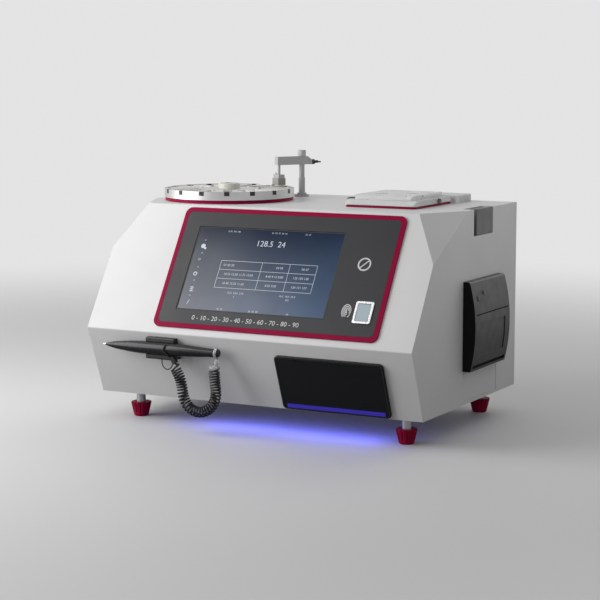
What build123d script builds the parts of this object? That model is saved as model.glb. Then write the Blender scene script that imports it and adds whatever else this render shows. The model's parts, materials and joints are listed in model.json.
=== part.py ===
from build123d import *
import math
import os

# A bench tester for the hardness of tablets, in millimetres.
# +Z is up, the operator stands at -Y, and the printer is on the +X side.
# Every piece is drawn from the middle of the knee line between slope and lower front,
# with the table at z = 0, and the finished set is then moved to its own origin.

# Housing
case_width = 390.0
case_depth = 281.6
case_bottom = 30.1
knee_height = 105.3
slope_angle = 31.6343
undercut = 29.1
sheet = 2.0
rear_sheet = 2.0
bend_radius = 2.5
facet_side = 29.6
facet_back = 62.0
facet_drop_share = 0.37
full_turn = 360.0

# Clearances and shared allowances
fit_gap = 0.3
run_gap = 0.05
overrun = 5.0
reach_far = 400.0

# Height of the control panel and its margins on the slope, which set the slope's length
panel_height = 143.6
panel_top_gap = 4.4
panel_low_gap = 7.387

# Places that several pieces share
slope_length = panel_low_gap + panel_height + panel_top_gap
slope_run = slope_length * math.sin(math.radians(slope_angle))
slope_rise = slope_length * math.cos(math.radians(slope_angle))
case_top = knee_height + slope_rise
body_rear = case_depth - rear_sheet
half_width = case_width / 2
inner_half = half_width - sheet
under_top = case_top - sheet
floor_top = case_bottom + sheet
front_rise = knee_height - case_bottom
slope = Plane(origin=(0, 0, knee_height), x_dir=(1, 0, 0), z_dir=(0, -slope_rise, slope_run))
lower_front = Plane(origin=(0, undercut, case_bottom), x_dir=(1, 0, 0), z_dir=(0, -front_rise, -undercut))


def block(x0, x1, y0, y1, z0, z1):
    """A box between two corners."""
    return Pos((x0 + x1) / 2, (y0 + y1) / 2, (z0 + z1) / 2) * Box(x1 - x0, y1 - y0, z1 - z0)


def post(x, y, radius, z0, z1):
    """An upright cylinder."""
    return Pos(x, y, (z0 + z1) / 2) * Cylinder(radius, z1 - z0)


def rod_x(y, z, radius, x0, x1):
    """A cylinder along X."""
    return Pos((x0 + x1) / 2, y, z) * Rot(0, 90, 0) * Cylinder(radius, x1 - x0)


def rod_y(x, z, radius, y0, y1):
    """A cylinder along Y."""
    return Pos(x, (y0 + y1) / 2, z) * Rot(90, 0, 0) * Cylinder(radius, y1 - y0)


def plate(plane, x, up, width, height, low, high, corner):
    """A plate with round corners, lying on a plane between two distances from it."""
    outline = RectangleRounded(width, height, corner)
    return extrude(plane.offset(low).location * Pos(x, up) * outline, amount=high - low)


def prism_x(outline, x0, x1):
    """An outline of y and z values, drawn out along X."""
    return extrude(Plane.YZ.offset(x0).location * outline, amount=x1 - x0)


def prism_y(outline, y0, y1):
    """An outline of x and z values, drawn out along Y."""
    return extrude(Plane.XZ.offset(-y1).location * outline, amount=y1 - y0)


def beyond(plane, distance=0.0):
    """All the space in front of a plane, as a large block."""
    half_space = Pos(0, 0, reach_far / 2) * Box(reach_far * 2, reach_far * 2, reach_far)
    return plane.offset(distance).location * half_space


# Control panel on the slope
panel_width = 267.3
panel_x = 20.95
panel_thickness = 2.0
panel_corner = 8.0
panel_border = 5.0
overlay_thickness = 1.0
overlay_gap = 0.15
panel_up = panel_low_gap + panel_height / 2
display_width = 178.5
display_height = 99.3
display_drop = 0.587
display_up = panel_up - display_drop
display_corner = 1.0
display_recess = 0.6
display_margin = 7.0
module_thickness = 6.0
reader_width = 20.3
reader_height = 24.9
reader_x = 132.2
reader_up = 39.2
reader_border = 2.6
reader_proud = 1.2
reader_corner = 2.0
sensor_depth = 9.0
sensor_sink = 0.3

# Drawer behind the smoked front
drawer_side_inset = 96.3
drawer_x = half_width - drawer_side_inset
drawer_width = 125.9
drawer_height = 63.8
drawer_low = 2.0
drawer_front_thickness = 3.0
drawer_front_corner = 5.0
tray_side_gap = 6.0
tray_wall = 2.0
tray_depth = 95.0
tray_bottom = 39.0
tray_top = 80.0
rail_width = 8.0
rail_length = 52.0
rail_start = 40.0

# Printer on the right side
printer_y0 = 130.0
printer_y1 = 228.0
printer_z0 = 67.0
printer_z1 = 163.0
printer_top_reach = 7.5
printer_mid_reach = 14.3
printer_low_reach = 9.0
printer_mid_z = 123.0
printer_flank = 4.0
printer_wall = 2.0
printer_corner = 3.0
printer_split_z = 127.5
printer_slot = 1.2
printer_bay_depth = 47.0
printer_skin = 4.0
door_lip = 2.6
door_lip_gap = 1.4
door_pin_radius = 1.5
door_pin_length = 2.5
door_round = 2.5
door_panel_inset = 9.0
door_panel_depth = 0.9
paper_radius = 19.0
paper_length = 80.0
paper_spindle_radius = 5.9
paper_core_gap = 0.1
paper_z = 95.0
platen_radius = 4.0
platen_z = 121.0
platen_ear = 4.0
button_radius = 2.4
button_proud = 0.9
button_rim = 1.0
button_back_gap = 2.2
feed_button_y = 143.7
feed_button_z = 144.8
power_button_y = 160.5
power_button_z = 149.6

# Notch and sliding latch at the top of the right side
notch_y0 = 157.4
notch_y1 = 211.0
notch_height = 28.6
notch_z = case_top - notch_height
notch_depth = 14.0
pocket_wall = 1.5
latch_thickness = 6.0
latch_travel_gap = 7.9

# Service hatch low on the right side
hatch_y0 = 133.0
hatch_y1 = 226.0
hatch_z0 = 33.5
hatch_z1 = 64.5
hatch_lip = 3.0
hatch_grip = 1.6
hatch_corner = 1.5

# Feet
foot_side_inset = 31.3
foot_front_inset = 28.7
foot_rear_inset = 25.5
foot_x = half_width - foot_side_inset
foot_front_y = undercut + foot_front_inset
foot_rear_y = case_depth - foot_rear_inset
foot_height = 16.0
foot_top_radius = 11.75
foot_base_radius = 7.9
foot_flutes = 12
flute_radius = 1.6
stud_radius = 5.0
stud_foot = 6.0
stud_above = 6.0
stud_nut_radius = 6.8
stud_nut_height = 3.4

# Turntable
turntable_side_inset = 85.2
turntable_rear_inset = 117.5
turntable_x = turntable_side_inset - half_width
turntable_y = case_depth - turntable_rear_inset
turntable_radius = 74.0
turntable_lift = 0.5
turntable_top = 13.5
base_ring_thickness = 3.4
base_ring_inset = 1.0
turntable_floor = 3.0
turntable_rim = 4.0
turntable_boss_radius = 34.0
turntable_boss_drop = 1.0
stations = 16
station_turn = 5.47
channel_width = 10.0
rim_notch_width = 6.0
rim_notch_depth = 4.6
station_block_drop = 0.6
station_block_gap = 1.0
station_block_inner = 37.0
hub_radius = 12.35
hub_rise = 6.5
hub_dish_radius = 6.0
hub_dish_depth = 1.5
hub_round = 2.0
spindle_radius = 6.0
spindle_hole_gap = 1.0
bearing_radius = 22.0
bearing_length = 18.0
bearing_skirt = 16.0
bearing_skirt_wall = 7.0
spindle_tail = 8.0
motor_side = 42.3
motor_height = 40.0
motor_corner = 4.0
motor_shaft_radius = 2.5
motor_shaft_length = 13.0

# Probe arm behind the turntable
arm_side = 49.8
arm_behind = 82.9
arm_x = turntable_x + arm_side
arm_y = turntable_y + arm_behind
arm_angle = 238.95
flange_radius = 8.7
flange_thickness = 2.4
bushing_radius = 6.0
bushing_length = 16.0
column_low_radius = 3.75
column_radius = 3.15
column_step = 22.0
collar_radius = 5.4
collar_height = 1.8
arm_rise = 37.4
arm_low_z = case_top + arm_rise
arm_height = 9.5
arm_front = 34.7
arm_back = 11.8
arm_width = 7.4
arm_shoulder = 4.2
cap_radius = 4.75
cap_height = 7.2
cap_round = 0.8
clamp_radius = 3.0
clamp_length = 4.6
clamp_tail_radius = 1.6
clamp_tail_length = 5.0
clamp_stem_radius = 1.4
clamp_stem_length = 3.0
lever_radius = 0.9
lever_length = 7.5
probe_reach = 31.0
probe_radius = 1.7
probe_rise = 26.4
probe_rod_low = case_top + probe_rise
probe_head_width = 12.0
probe_head_depth = 8.0
probe_head_height = 4.0
probe_block_width = 14.0
probe_block_depth = 10.0
probe_block_height = 8.1
probe_hook_radius = 2.0
probe_hook_wire = 0.6

# Test station at the top right
station_width = 84.0
station_depth = 98.0
station_side_inset = 56.0
station_rear_inset = 54.6
station_x1 = half_width - station_side_inset
station_x0 = station_x1 - station_width
station_y1 = case_depth - station_rear_inset
station_y0 = station_y1 - station_depth
station_plate_thickness = 2.0
station_deck_thickness = 1.5
station_deck_inset = 3.0
station_corner = 5.0
jaw_inset = 27.0
jaw_x = station_x1 - jaw_inset
jaw_width = 28.0
jaw_height = 7.0
jaw_thickness = 8.0
fixed_jaw_back = 22.0
fixed_jaw_y = station_y0 + fixed_jaw_back
jaw_gap = 20.0
jaw_tail_width = 9.0
jaw_tail_length = 27.0
load_cell_width = 34.0
load_cell_length = 11.0
load_cell_height = 5.0
load_cell_slot = 1.6
screw_radius = 2.5
screw_tip_gap = 2.0
screw_height = 3.6
drive_width = 45.0
drive_overhang = 4.0
drive_gap = 2.0
drive_x1 = station_x1 + drive_overhang
drive_x0 = drive_x1 - drive_width
drive_y0 = station_y1 + drive_gap
drive_block_length = 11.0
drive_motor_length = 33.0
drive_height = 9.0
drive_motor_drop = 0.6
drive_corner = 1.2
cooler_ribs = 8
cooler_groove = 2.0
cooler_groove_depth = 1.6
cover_wall = 2.0
cover_lift = 0.7
cover_low_top = 8.2
cover_top = 13.2
cover_step = 7.5
cover_front_step = 9.0
cover_bevel = 3.6
cover_upper_bevel = 2.6
cover_overhang = 0.4
cover_corner = 4.0
hinge_pin_radius = 1.5
hinge_radius = 3.0
hinge_out = 3.5
hinge_height = 6.4
knuckle_back = 23.0
knuckle_length = 54.0
knuckle_y0 = station_y0 + knuckle_back
knuckle_y1 = knuckle_y0 + knuckle_length
lug_length = 7.0
cover_knob_radius = 2.6
cover_knob_length = 3.2
cover_knob_back = 60.0
cover_knob_y = station_y0 + cover_knob_back

# Pen, its holder and its curly cord
pen_y = -4.0
pen_z = 89.0
pen_tip_x = -172.0
pen_length = 147.0
pen_radius = 6.85
pen_tail_radius = 4.4
pen_point_radius = 1.0
pen_tip_length = 15.0
pen_tip_radius = 3.9
pen_grip_share = 0.30
pen_shoulder_share = 0.66
holder_x0 = -116.0
holder_x1 = -81.0
holder_z0 = 77.3
holder_z1 = 100.7
holder_front = -5.5
holder_corner = 1.5
holder_slot_gap = 0.15
gland_radius = 3.2
gland_length = 9.0
ring_x = -28.6
ring_width = 5.0
ring_wall = 1.3
sleeve_radius = 2.2
sleeve_bottom = 77.0
cord_diameter = 2.0
coil_radius = 5.0
coil_pitch = 3.2
coil_spread_share = 0.14
coil_end_rise = 2.8
coil_steps = 4
arc_share = 0.45

# The curly cord's axis, from the holder round its lowest point to the end of the pen, as x and z
cord_route = [
    (-79.4, 74.6),
    (-72.6, 64.2),
    (-68.6, 53.2),
    (-67.4, 41.8),
    (-62.8, 31.8),
    (-53.6, 25.4),
    (-42.6, 25.2),
    (-32.8, 30.8),
    (-27.0, 40.4),
    (-26.4, 51.4),
    (-28.6, 64.0),
    (-28.6, 77.0),
]

# Light strip under the floor, boards, power inlet and ports
strip_x0 = -112.0
strip_x1 = 142.0
strip_y = 52.0
strip_width = 9.0
strip_height = 2.6
board_thickness = 1.6
board_side_gap = 21.0
board_length = 160.0
board_depth = 110.0
board_rise = 10.0
board_chip = 14.0
board_chip_height = 3.0
standoff_radius = 3.0
standoff_inset = 6.0
supply_side_gap = 41.0
supply_rear_inset = 19.6
supply_length = 100.0
supply_depth = 58.0
supply_x0 = supply_side_gap - inner_half
supply_x1 = supply_x0 + supply_length
supply_y1 = case_depth - supply_rear_inset
supply_y0 = supply_y1 - supply_depth
board_supply_gap = 12.0
board_x0 = board_side_gap - inner_half
board_x1 = board_x0 + board_length
board_y1 = supply_y0 - board_supply_gap
board_y0 = board_y1 - board_depth
supply_height = 36.0
supply_lid = 1.5
inlet_side_inset = 65.0
inlet_x = inlet_side_inset - half_width
inlet_z = 118.0
inlet_width = 30.0
inlet_height = 62.0
inlet_flange = 2.2
inlet_border = 2.0
inlet_body_depth = 22.0
inlet_mouth_width = 24.4
inlet_mouth_height = 16.6
inlet_mouth_depth = 16.0
inlet_mouth_drop = 14.0
inlet_corner = 2.0
inlet_pin_width = 2.0
inlet_pin_height = 4.0
inlet_pin_length = 10.0
inlet_pin_pitch = 7.0
rocker_width = 13.0
rocker_half = 9.0
rocker_rise = 15.0
rocker_crown = 1.5
rocker_round = 8.4
rocker_tilt = 6.0
rocker_pin_radius = 1.2
rocker_pin_length = 1.6
ports_side = 68.0
ports_x = inlet_x + ports_side
ports_z = 118.0
ports_width = 46.0
ports_height = 22.0
ports_depth = 18.0
ports_flange = 1.2
ports_border = 3.0
port_mouth_width = 13.0
port_mouth_height = 11.0
port_mouth_depth = 13.0
port_pitch = 20.0
boss_depth = 10.0
case_screw_radius = 1.9
case_screw_head = 3.6
case_screw_head_height = 2.2
case_screw_length = 9.0
screw_inset = 8.0
screw_row_low = 62.0
screw_row_high = 196.0
screw_top_x = 96.0
vent_count = 9
vent_width = 3.0
vent_length = 46.0
vent_pitch = 7.5
vent_x = 96.0
vent_z = 120.0


def inset_corner(before, corner, after, gap):
    """A corner of the side outline, moved inward by a gap."""
    first = Vector(corner[0] - before[0], corner[1] - before[1]).normalized()
    second = Vector(after[0] - corner[0], after[1] - corner[1]).normalized()
    normal = Vector(first.Y + second.Y, -first.X - second.X)
    return Vector(corner[0], corner[1]) + normal * (gap / (1 + first.dot(second)))


def case_solid():
    """The housing's outer form, from its side outline, with the bends rounded."""
    front_bottom = (undercut, case_bottom)
    knee = (0, knee_height)
    brow = (slope_run, case_top)
    outline = make_face(Polyline(front_bottom, knee, brow, (body_rear, case_top), (body_rear, case_bottom),
                                 close=True))
    bends = [v for v in outline.vertices() if v.X < body_rear / 2 and v.Y > case_bottom + sheet]
    return prism_x(fillet(bends, bend_radius), -half_width, half_width)


def case_inside():
    """The housing's inner space, open at the rear and the floor."""
    front_bottom = (undercut, case_bottom)
    knee = (0, knee_height)
    brow = (slope_run, case_top)
    knee_in = inset_corner(front_bottom, knee, brow, sheet)
    brow_in = inset_corner(knee, brow, (body_rear, case_top), sheet)
    low = case_bottom - overrun
    foot_in = (knee_in.X + (knee_in.Y - low) * undercut / front_rise, low)
    back = body_rear + overrun
    outline = make_face(Polyline(foot_in, knee_in, brow_in, (back, under_top), (back, low), close=True))
    return prism_x(outline, -inner_half, inner_half)


def facet_plane():
    """The plane of the three-cornered facet between slope, top and right side."""
    on_top = Vector(half_width - facet_side, slope_run, case_top)
    on_side = Vector(half_width, slope_run + facet_back, case_top)
    low_share = 1 - facet_drop_share
    on_edge = Vector(half_width, slope_run * low_share, knee_height + slope_rise * low_share)
    normal = (on_edge - on_top).cross(on_side - on_top)
    return Plane(origin=on_top, x_dir=on_side - on_top, z_dir=normal)


def cut_facets(solid, depth=0.0):
    """Takes both facets off a form, or off a form inset by a depth."""
    cutter = beyond(facet_plane(), -depth)
    return solid - cutter - mirror(cutter, about=Plane.YZ)


def screw_places():
    """Where the rear panel's screws stand, as x and z."""
    side = inner_half - screw_inset
    top = under_top - screw_inset
    places = [(sx * side, z) for sx in (-1, 1) for z in (screw_row_low, screw_row_high)]
    return places + [(-screw_top_x, top), (screw_top_x, top)]


def tray_span():
    """The tray's sides, as two x values."""
    half = drawer_width / 2 - tray_side_gap
    return drawer_x - half, drawer_x + half


def housing_shell():
    shell = cut_facets(case_solid()) - cut_facets(case_inside(), sheet)
    for x, z in screw_places():
        shell += block(x - screw_inset, x + screw_inset, body_rear - boss_depth, body_rear,
                       z - screw_inset, z + screw_inset) & cut_facets(case_solid())
    for x, z in screw_places():
        shell -= rod_y(x, z, case_screw_radius + run_gap, body_rear - case_screw_length, body_rear + overrun)
    shell -= plate(slope, 0, display_up, display_width + fit_gap * 2, display_height + fit_gap * 2,
                   -sheet * 2, overrun, display_corner)
    shell -= plate(slope, reader_x, reader_up, reader_width - reader_border * 2,
                   reader_height - reader_border * 2, -sheet * 2, overrun, reader_corner / 2)
    tray_x0, tray_x1 = tray_span()
    shell -= block(tray_x0 - fit_gap * 2, tray_x1 + fit_gap * 2, -overrun, undercut + overrun,
                   tray_bottom - fit_gap * 2, tray_top + fit_gap * 2)
    shell -= block(inner_half - overrun, half_width + overrun, printer_y0 + printer_flank,
                   printer_y1 - printer_flank, printer_z0 + printer_wall, printer_z1 - printer_wall)
    shell -= block(inner_half - overrun, half_width + overrun, hatch_y0, hatch_y1, hatch_z0, hatch_z1)
    shell -= block(half_width - notch_depth, half_width + overrun, notch_y0, notch_y1, notch_z,
                   case_top + overrun)
    shell -= post(turntable_x, turntable_y, spindle_radius + spindle_hole_gap, under_top - overrun,
                  case_top + overrun)
    shell -= post(arm_x, arm_y, bushing_radius + run_gap, under_top - overrun, case_top + overrun)
    return shell


def foot_places():
    return [(sx * foot_x, y) for sx in (-1, 1) for y in (foot_front_y, foot_rear_y)]


def board_places():
    xs = (board_x0 + standoff_inset, board_x1 - standoff_inset)
    ys = (board_y0 + standoff_inset, board_y1 - standoff_inset)
    return [(x, y) for x in xs for y in ys]


def base_plate():
    inside = cut_facets(case_inside(), sheet)
    floor = inside & block(-inner_half + fit_gap, inner_half - fit_gap, fit_gap, body_rear, case_bottom,
                           floor_top)
    for x, y in foot_places():
        floor -= post(x, y, stud_radius + run_gap, case_bottom - overrun, floor_top + overrun)
    for x, y in board_places():
        floor += post(x, y, standoff_radius, floor_top, floor_top + board_rise)
    return floor


def rear_panel():
    panel = block(-half_width, half_width, body_rear, case_depth, case_bottom, case_top)
    for x, z in screw_places():
        panel -= rod_y(x, z, case_screw_radius + run_gap, body_rear - overrun, case_depth + overrun)
    panel -= block(inlet_x - inlet_width / 2 + inlet_border, inlet_x + inlet_width / 2 - inlet_border,
                   body_rear - overrun, case_depth + overrun,
                   inlet_z - inlet_height / 2 + inlet_border, inlet_z + inlet_height / 2 - inlet_border)
    panel -= block(ports_x - ports_width / 2 + ports_border, ports_x + ports_width / 2 - ports_border,
                   body_rear - overrun, case_depth + overrun,
                   ports_z - ports_height / 2 + ports_border, ports_z + ports_height / 2 - ports_border)
    for i in range(vent_count):
        x = vent_x + (i - (vent_count - 1) / 2) * vent_pitch
        panel -= block(x - vent_width / 2, x + vent_width / 2, body_rear - overrun, case_depth + overrun,
                       vent_z - vent_length / 2, vent_z + vent_length / 2)
    return panel


def service_hatch():
    """A flush plate with a lip behind the side wall and a slit to grip it by."""
    y0 = hatch_y0 + fit_gap
    y1 = hatch_y1 - hatch_grip
    middle_z = (hatch_z0 + hatch_z1) / 2
    side = Plane.YZ.offset(half_width)
    leaf = plate(side, (y0 + y1) / 2, middle_z, y1 - y0, hatch_z1 - hatch_z0 - fit_gap * 2, -sheet, 0,
                 hatch_corner)
    lip = block(inner_half - sheet, inner_half, y0, y1, hatch_z0 + hatch_lip, hatch_z1 + hatch_lip / 2)
    return leaf + lip


def latch_pocket():
    """The black box under the notch, open at the top and the side."""
    x0 = half_width - notch_depth
    outer = block(x0 - pocket_wall, inner_half, notch_y0 - pocket_wall, notch_y1 + pocket_wall,
                  notch_z - pocket_wall, under_top)
    return outer - block(x0, half_width, notch_y0, notch_y1, notch_z, case_top)


def side_latch():
    """The sliding latch, flush with the side wall and the top."""
    return block(half_width - latch_thickness, half_width, notch_y0 + latch_travel_gap, notch_y1 - fit_gap,
                 notch_z + fit_gap, case_top)


def foot_pads():
    pads = []
    for x, y in foot_places():
        pad = Pos(x, y, foot_height / 2) * Cone(foot_base_radius, foot_top_radius, foot_height)
        for i in range(foot_flutes):
            turn = Pos(x, y, 0) * Rot(0, 0, full_turn * i / foot_flutes)
            pad -= turn * post(foot_top_radius + flute_radius / 2, 0, flute_radius, foot_height / 4,
                               foot_height)
        pad -= post(x, y, stud_radius + run_gap, stud_foot, foot_height + overrun)
        pads.append(pad)
    return Compound(pads)


def foot_studs():
    studs = []
    for x, y in foot_places():
        stud = post(x, y, stud_radius, stud_foot, floor_top + stud_above)
        nut = extrude(RegularPolygon(stud_nut_radius, 6), stud_nut_height)
        nut = Pos(x, y, case_bottom - stud_nut_height) * nut
        studs.append(stud + nut)
    return Compound(studs)


def panel_bezel():
    """The crimson frame of the control panel, with a pocket for the overlay."""
    bezel = plate(slope, panel_x, panel_up, panel_width, panel_height, 0, panel_thickness, panel_corner)
    bezel -= plate(slope, panel_x, panel_up, panel_width - panel_border * 2,
                   panel_height - panel_border * 2, panel_thickness - overlay_thickness,
                   panel_thickness + overrun, panel_corner - panel_border / 2)
    bezel -= plate(slope, 0, display_up, display_width + fit_gap * 2, display_height + fit_gap * 2,
                   -overrun, overrun, display_corner)
    bezel -= plate(slope, reader_x, reader_up, reader_width - reader_border * 2,
                   reader_height - reader_border * 2, -overrun, overrun, reader_corner / 2)
    return bezel


def panel_overlay():
    inset = panel_border + overlay_gap
    overlay = plate(slope, panel_x, panel_up, panel_width - inset * 2, panel_height - inset * 2,
                    panel_thickness - overlay_thickness, panel_thickness, panel_corner - panel_border / 2)
    overlay -= plate(slope, 0, display_up, display_width + fit_gap * 2, display_height + fit_gap * 2,
                     -overrun, overrun, display_corner)
    overlay -= plate(slope, reader_x, reader_up, reader_width - reader_border * 2,
                     reader_height - reader_border * 2, -overrun, overrun, reader_corner / 2)
    return overlay


def display_glass():
    return plate(slope, 0, display_up, display_width, display_height, -sheet,
                 panel_thickness - display_recess, display_corner)


def display_module():
    return plate(slope, 0, display_up, display_width + display_margin * 2,
                 display_height + display_margin * 2, -sheet - module_thickness, -sheet, display_corner)


def fingerprint_frame():
    frame = plate(slope, reader_x, reader_up, reader_width, reader_height, panel_thickness,
                  panel_thickness + reader_proud, reader_corner)
    window = plate(slope, reader_x, reader_up, reader_width - reader_border * 2,
                   reader_height - reader_border * 2, 0, overrun, reader_corner / 2)
    return frame - window


def fingerprint_sensor():
    top = panel_thickness + reader_proud - sensor_sink
    inset = reader_border + fit_gap
    return plate(slope, reader_x, reader_up, reader_width - inset * 2, reader_height - inset * 2,
                 top - sensor_depth, top, reader_corner / 2)


def turntable_base():
    ring = post(turntable_x, turntable_y, turntable_radius - base_ring_inset, case_top,
                case_top + base_ring_thickness)
    return ring - post(turntable_x, turntable_y, spindle_radius + spindle_hole_gap, case_top - overrun,
                       case_top + base_ring_thickness + overrun)


def station_angle(i):
    return station_turn + full_turn * i / stations


def turntable_disc():
    """A floor with a notched rim and a boss, and a bore for the spindle."""
    low = case_top + base_ring_thickness + turntable_lift
    floor = low + turntable_floor
    top = case_top + turntable_top
    disc = post(turntable_x, turntable_y, turntable_radius, low, top)
    disc -= post(turntable_x, turntable_y, turntable_radius - turntable_rim, floor, top + overrun)
    disc += post(turntable_x, turntable_y, turntable_boss_radius, low, top - turntable_boss_drop)
    disc -= post(turntable_x, turntable_y, spindle_radius, low - overrun, top + overrun)
    for i in range(stations):
        turn = Pos(turntable_x, turntable_y, 0) * Rot(0, 0, station_angle(i))
        disc -= turn * block(turntable_radius - turntable_rim * 2, turntable_radius + overrun,
                             -rim_notch_width / 2, rim_notch_width / 2, top - rim_notch_depth, top + overrun)
    return disc


def station_blocks():
    """Wedges between the stations' channels, all alike."""
    low = case_top + base_ring_thickness + turntable_lift + turntable_floor
    top = case_top + turntable_top - station_block_drop
    inner = station_block_inner
    outer = turntable_radius - turntable_rim - station_block_gap
    half_turn = math.pi / stations
    inner_half_width = inner * math.sin(half_turn) - channel_width / 2
    outer_half_width = outer * math.sin(half_turn) - channel_width / 2
    outline = make_face(Polyline((inner, -inner_half_width), (outer, -outer_half_width),
                                 (outer, outer_half_width), (inner, inner_half_width), close=True))
    wedge = extrude(Pos(0, 0, low) * outline, amount=top - low)
    blocks = []
    for i in range(stations):
        turn = Pos(turntable_x, turntable_y, 0) * Rot(0, 0, station_angle(i + 0.5))
        blocks.append(turn * wedge)
    return Compound(blocks)


def turntable_hub():
    low = case_top + turntable_top - turntable_boss_drop
    hub = post(turntable_x, turntable_y, hub_radius, low, low + hub_rise)
    top_edge = hub.edges().filter_by(GeomType.CIRCLE).sort_by(Axis.Z)[-1]
    hub = fillet(top_edge, hub_round)
    return hub - post(turntable_x, turntable_y, hub_dish_radius, low + hub_rise - hub_dish_depth,
                      low + hub_rise + overrun)


def turntable_shaft():
    """The spindle, bored at its foot for the motor's own shaft."""
    top = case_top + turntable_top - turntable_boss_drop
    low = under_top - bearing_length - spindle_tail
    shaft = post(turntable_x, turntable_y, spindle_radius, low, top)
    return shaft - post(turntable_x, turntable_y, motor_shaft_radius + run_gap, low - overrun,
                        low + motor_shaft_length)


def turntable_bearing():
    """The bearing under the top, with the skirt that carries the motor."""
    low = under_top - bearing_length
    body = post(turntable_x, turntable_y, bearing_radius, low - bearing_skirt, under_top)
    body -= post(turntable_x, turntable_y, spindle_radius + run_gap, low - overrun, under_top + overrun)
    return body - post(turntable_x, turntable_y, bearing_radius - bearing_skirt_wall,
                       low - bearing_skirt - overrun, low)


def turntable_motor():
    top = under_top - bearing_length - bearing_skirt
    side = RectangleRounded(motor_side, motor_side, motor_corner)
    body = extrude(Pos(turntable_x, turntable_y, top - motor_height) * side, amount=motor_height)
    return body + post(turntable_x, turntable_y, motor_shaft_radius, top, top + motor_shaft_length)


def column_flange():
    flange = post(arm_x, arm_y, flange_radius, case_top, case_top + flange_thickness)
    flange += post(arm_x, arm_y, bushing_radius, case_top - bushing_length, case_top)
    return flange - post(arm_x, arm_y, column_low_radius + run_gap, case_top - bushing_length - overrun,
                         case_top + flange_thickness + overrun)


def arm_column():
    """The turning column, stepped, with a collar at each end of its bushing."""
    foot = case_top - bushing_length - run_gap * 2
    column = post(arm_x, arm_y, column_low_radius, foot, case_top + column_step)
    column += post(arm_x, arm_y, column_radius, case_top + column_step, arm_low_z + arm_height)
    column += post(arm_x, arm_y, collar_radius, foot - collar_height, foot)
    collar = case_top + flange_thickness + run_gap * 2
    return column + post(arm_x, arm_y, collar_radius, collar, collar + collar_height)


def on_arm(shape):
    """Turns a shape drawn along X into the arm's direction, about its column."""
    return Pos(arm_x, arm_y, 0) * Rot(0, 0, arm_angle) * shape


def swing_arm():
    """The arm, with a falling shoulder behind the column and a bore for the probe's rod."""
    top = arm_low_z + arm_height
    outline = make_face(Polyline((-arm_back, arm_low_z), (arm_front, arm_low_z), (arm_front, top),
                                 (-arm_back / 2, top), (-arm_back, top - arm_shoulder), close=True))
    beam = prism_y(outline, -arm_width / 2, arm_width / 2)
    beam -= post(0, 0, column_radius, arm_low_z - overrun, top + overrun)
    beam -= post(probe_reach, 0, probe_radius + run_gap, arm_low_z - overrun, top + overrun)
    axis_z = arm_low_z + (arm_height - arm_shoulder) / 2
    beam -= rod_x(0, axis_z, clamp_stem_radius + run_gap, -arm_back - overrun, -arm_back + clamp_stem_length)
    return on_arm(beam)


def arm_cap():
    top = arm_low_z + arm_height
    cap = post(0, 0, cap_radius, top, top + cap_height)
    return on_arm(fillet(cap.edges().filter_by(GeomType.CIRCLE).sort_by(Axis.Z)[-1], cap_round))


def clamp_knob():
    """The clamp's knob at the arm's rear end, with its tail and small lever."""
    axis_z = arm_low_z + (arm_height - arm_shoulder) / 2
    face = -arm_back - run_gap * 2
    knob = rod_x(0, axis_z, clamp_radius, face - clamp_length, face)
    knob += rod_x(0, axis_z, clamp_stem_radius, face, -arm_back + clamp_stem_length - fit_gap)
    tail = face - clamp_length - clamp_tail_length
    knob += rod_x(0, axis_z, clamp_tail_radius, tail, face - clamp_length)
    lever = Pos(tail + lever_radius, 0, axis_z) * Rot(90, 0, 0) * Cylinder(lever_radius, lever_length * 2)
    lever &= block(-reach_far, reach_far, 0, reach_far, 0, reach_far)
    return on_arm(knob + lever)


def probe_rod():
    return on_arm(post(probe_reach, 0, probe_radius, probe_rod_low, arm_low_z + arm_height))


def probe_head():
    """The clamp under the rod, with a wire hook on its side."""
    low = probe_rod_low - probe_head_height
    head = block(probe_reach - probe_head_depth / 2, probe_reach + probe_head_depth / 2,
                 -probe_head_width / 2, probe_head_width / 2, low, probe_rod_low)
    hook = Pos(probe_reach, -probe_head_width / 2 - probe_hook_radius / 2,
               low + probe_head_height - probe_hook_wire)
    return on_arm(head + hook * Rot(0, 90, 0) * Torus(probe_hook_radius, probe_hook_wire))


def probe_block():
    top = probe_rod_low - probe_head_height
    return on_arm(block(probe_reach - probe_block_depth / 2, probe_reach + probe_block_depth / 2,
                        -probe_block_width / 2, probe_block_width / 2, top - probe_block_height, top))


def station_plate():
    middle_x = (station_x0 + station_x1) / 2
    middle_y = (station_y0 + station_y1) / 2
    return plate(Plane.XY.offset(case_top), middle_x, middle_y, station_x1 - station_x0,
                 station_y1 - station_y0, 0, station_plate_thickness, station_corner)


def deck_top():
    return case_top + station_plate_thickness + station_deck_thickness


def hinge_axis():
    """The cover's hinge line, as x and z."""
    return station_x0 - hinge_out + hinge_radius / 2, case_top + hinge_height


def station_deck():
    """The dark deck with the two hinge lugs and the pin of the cover."""
    low = case_top + station_plate_thickness
    deck = block(station_x0 + station_deck_inset, station_x1 - station_deck_inset,
                 station_y0 + station_deck_inset, station_y1 - station_deck_inset, low, deck_top())
    pin_x, pin_z = hinge_axis()
    for y0 in (knuckle_y0 - fit_gap - lug_length, knuckle_y1 + fit_gap):
        deck += block(pin_x, station_x0 + station_deck_inset * 2, y0, y0 + lug_length, low,
                      pin_z + hinge_radius)
        deck += rod_y(pin_x, pin_z, hinge_radius, y0, y0 + lug_length)
    deck += rod_y(pin_x, pin_z, hinge_pin_radius, knuckle_y0 - lug_length, knuckle_y1 + lug_length)
    return deck


def fixed_jaw():
    return block(jaw_x - jaw_width / 2, jaw_x + jaw_width / 2, fixed_jaw_y, fixed_jaw_y + jaw_thickness,
                 deck_top(), deck_top() + jaw_height)


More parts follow.
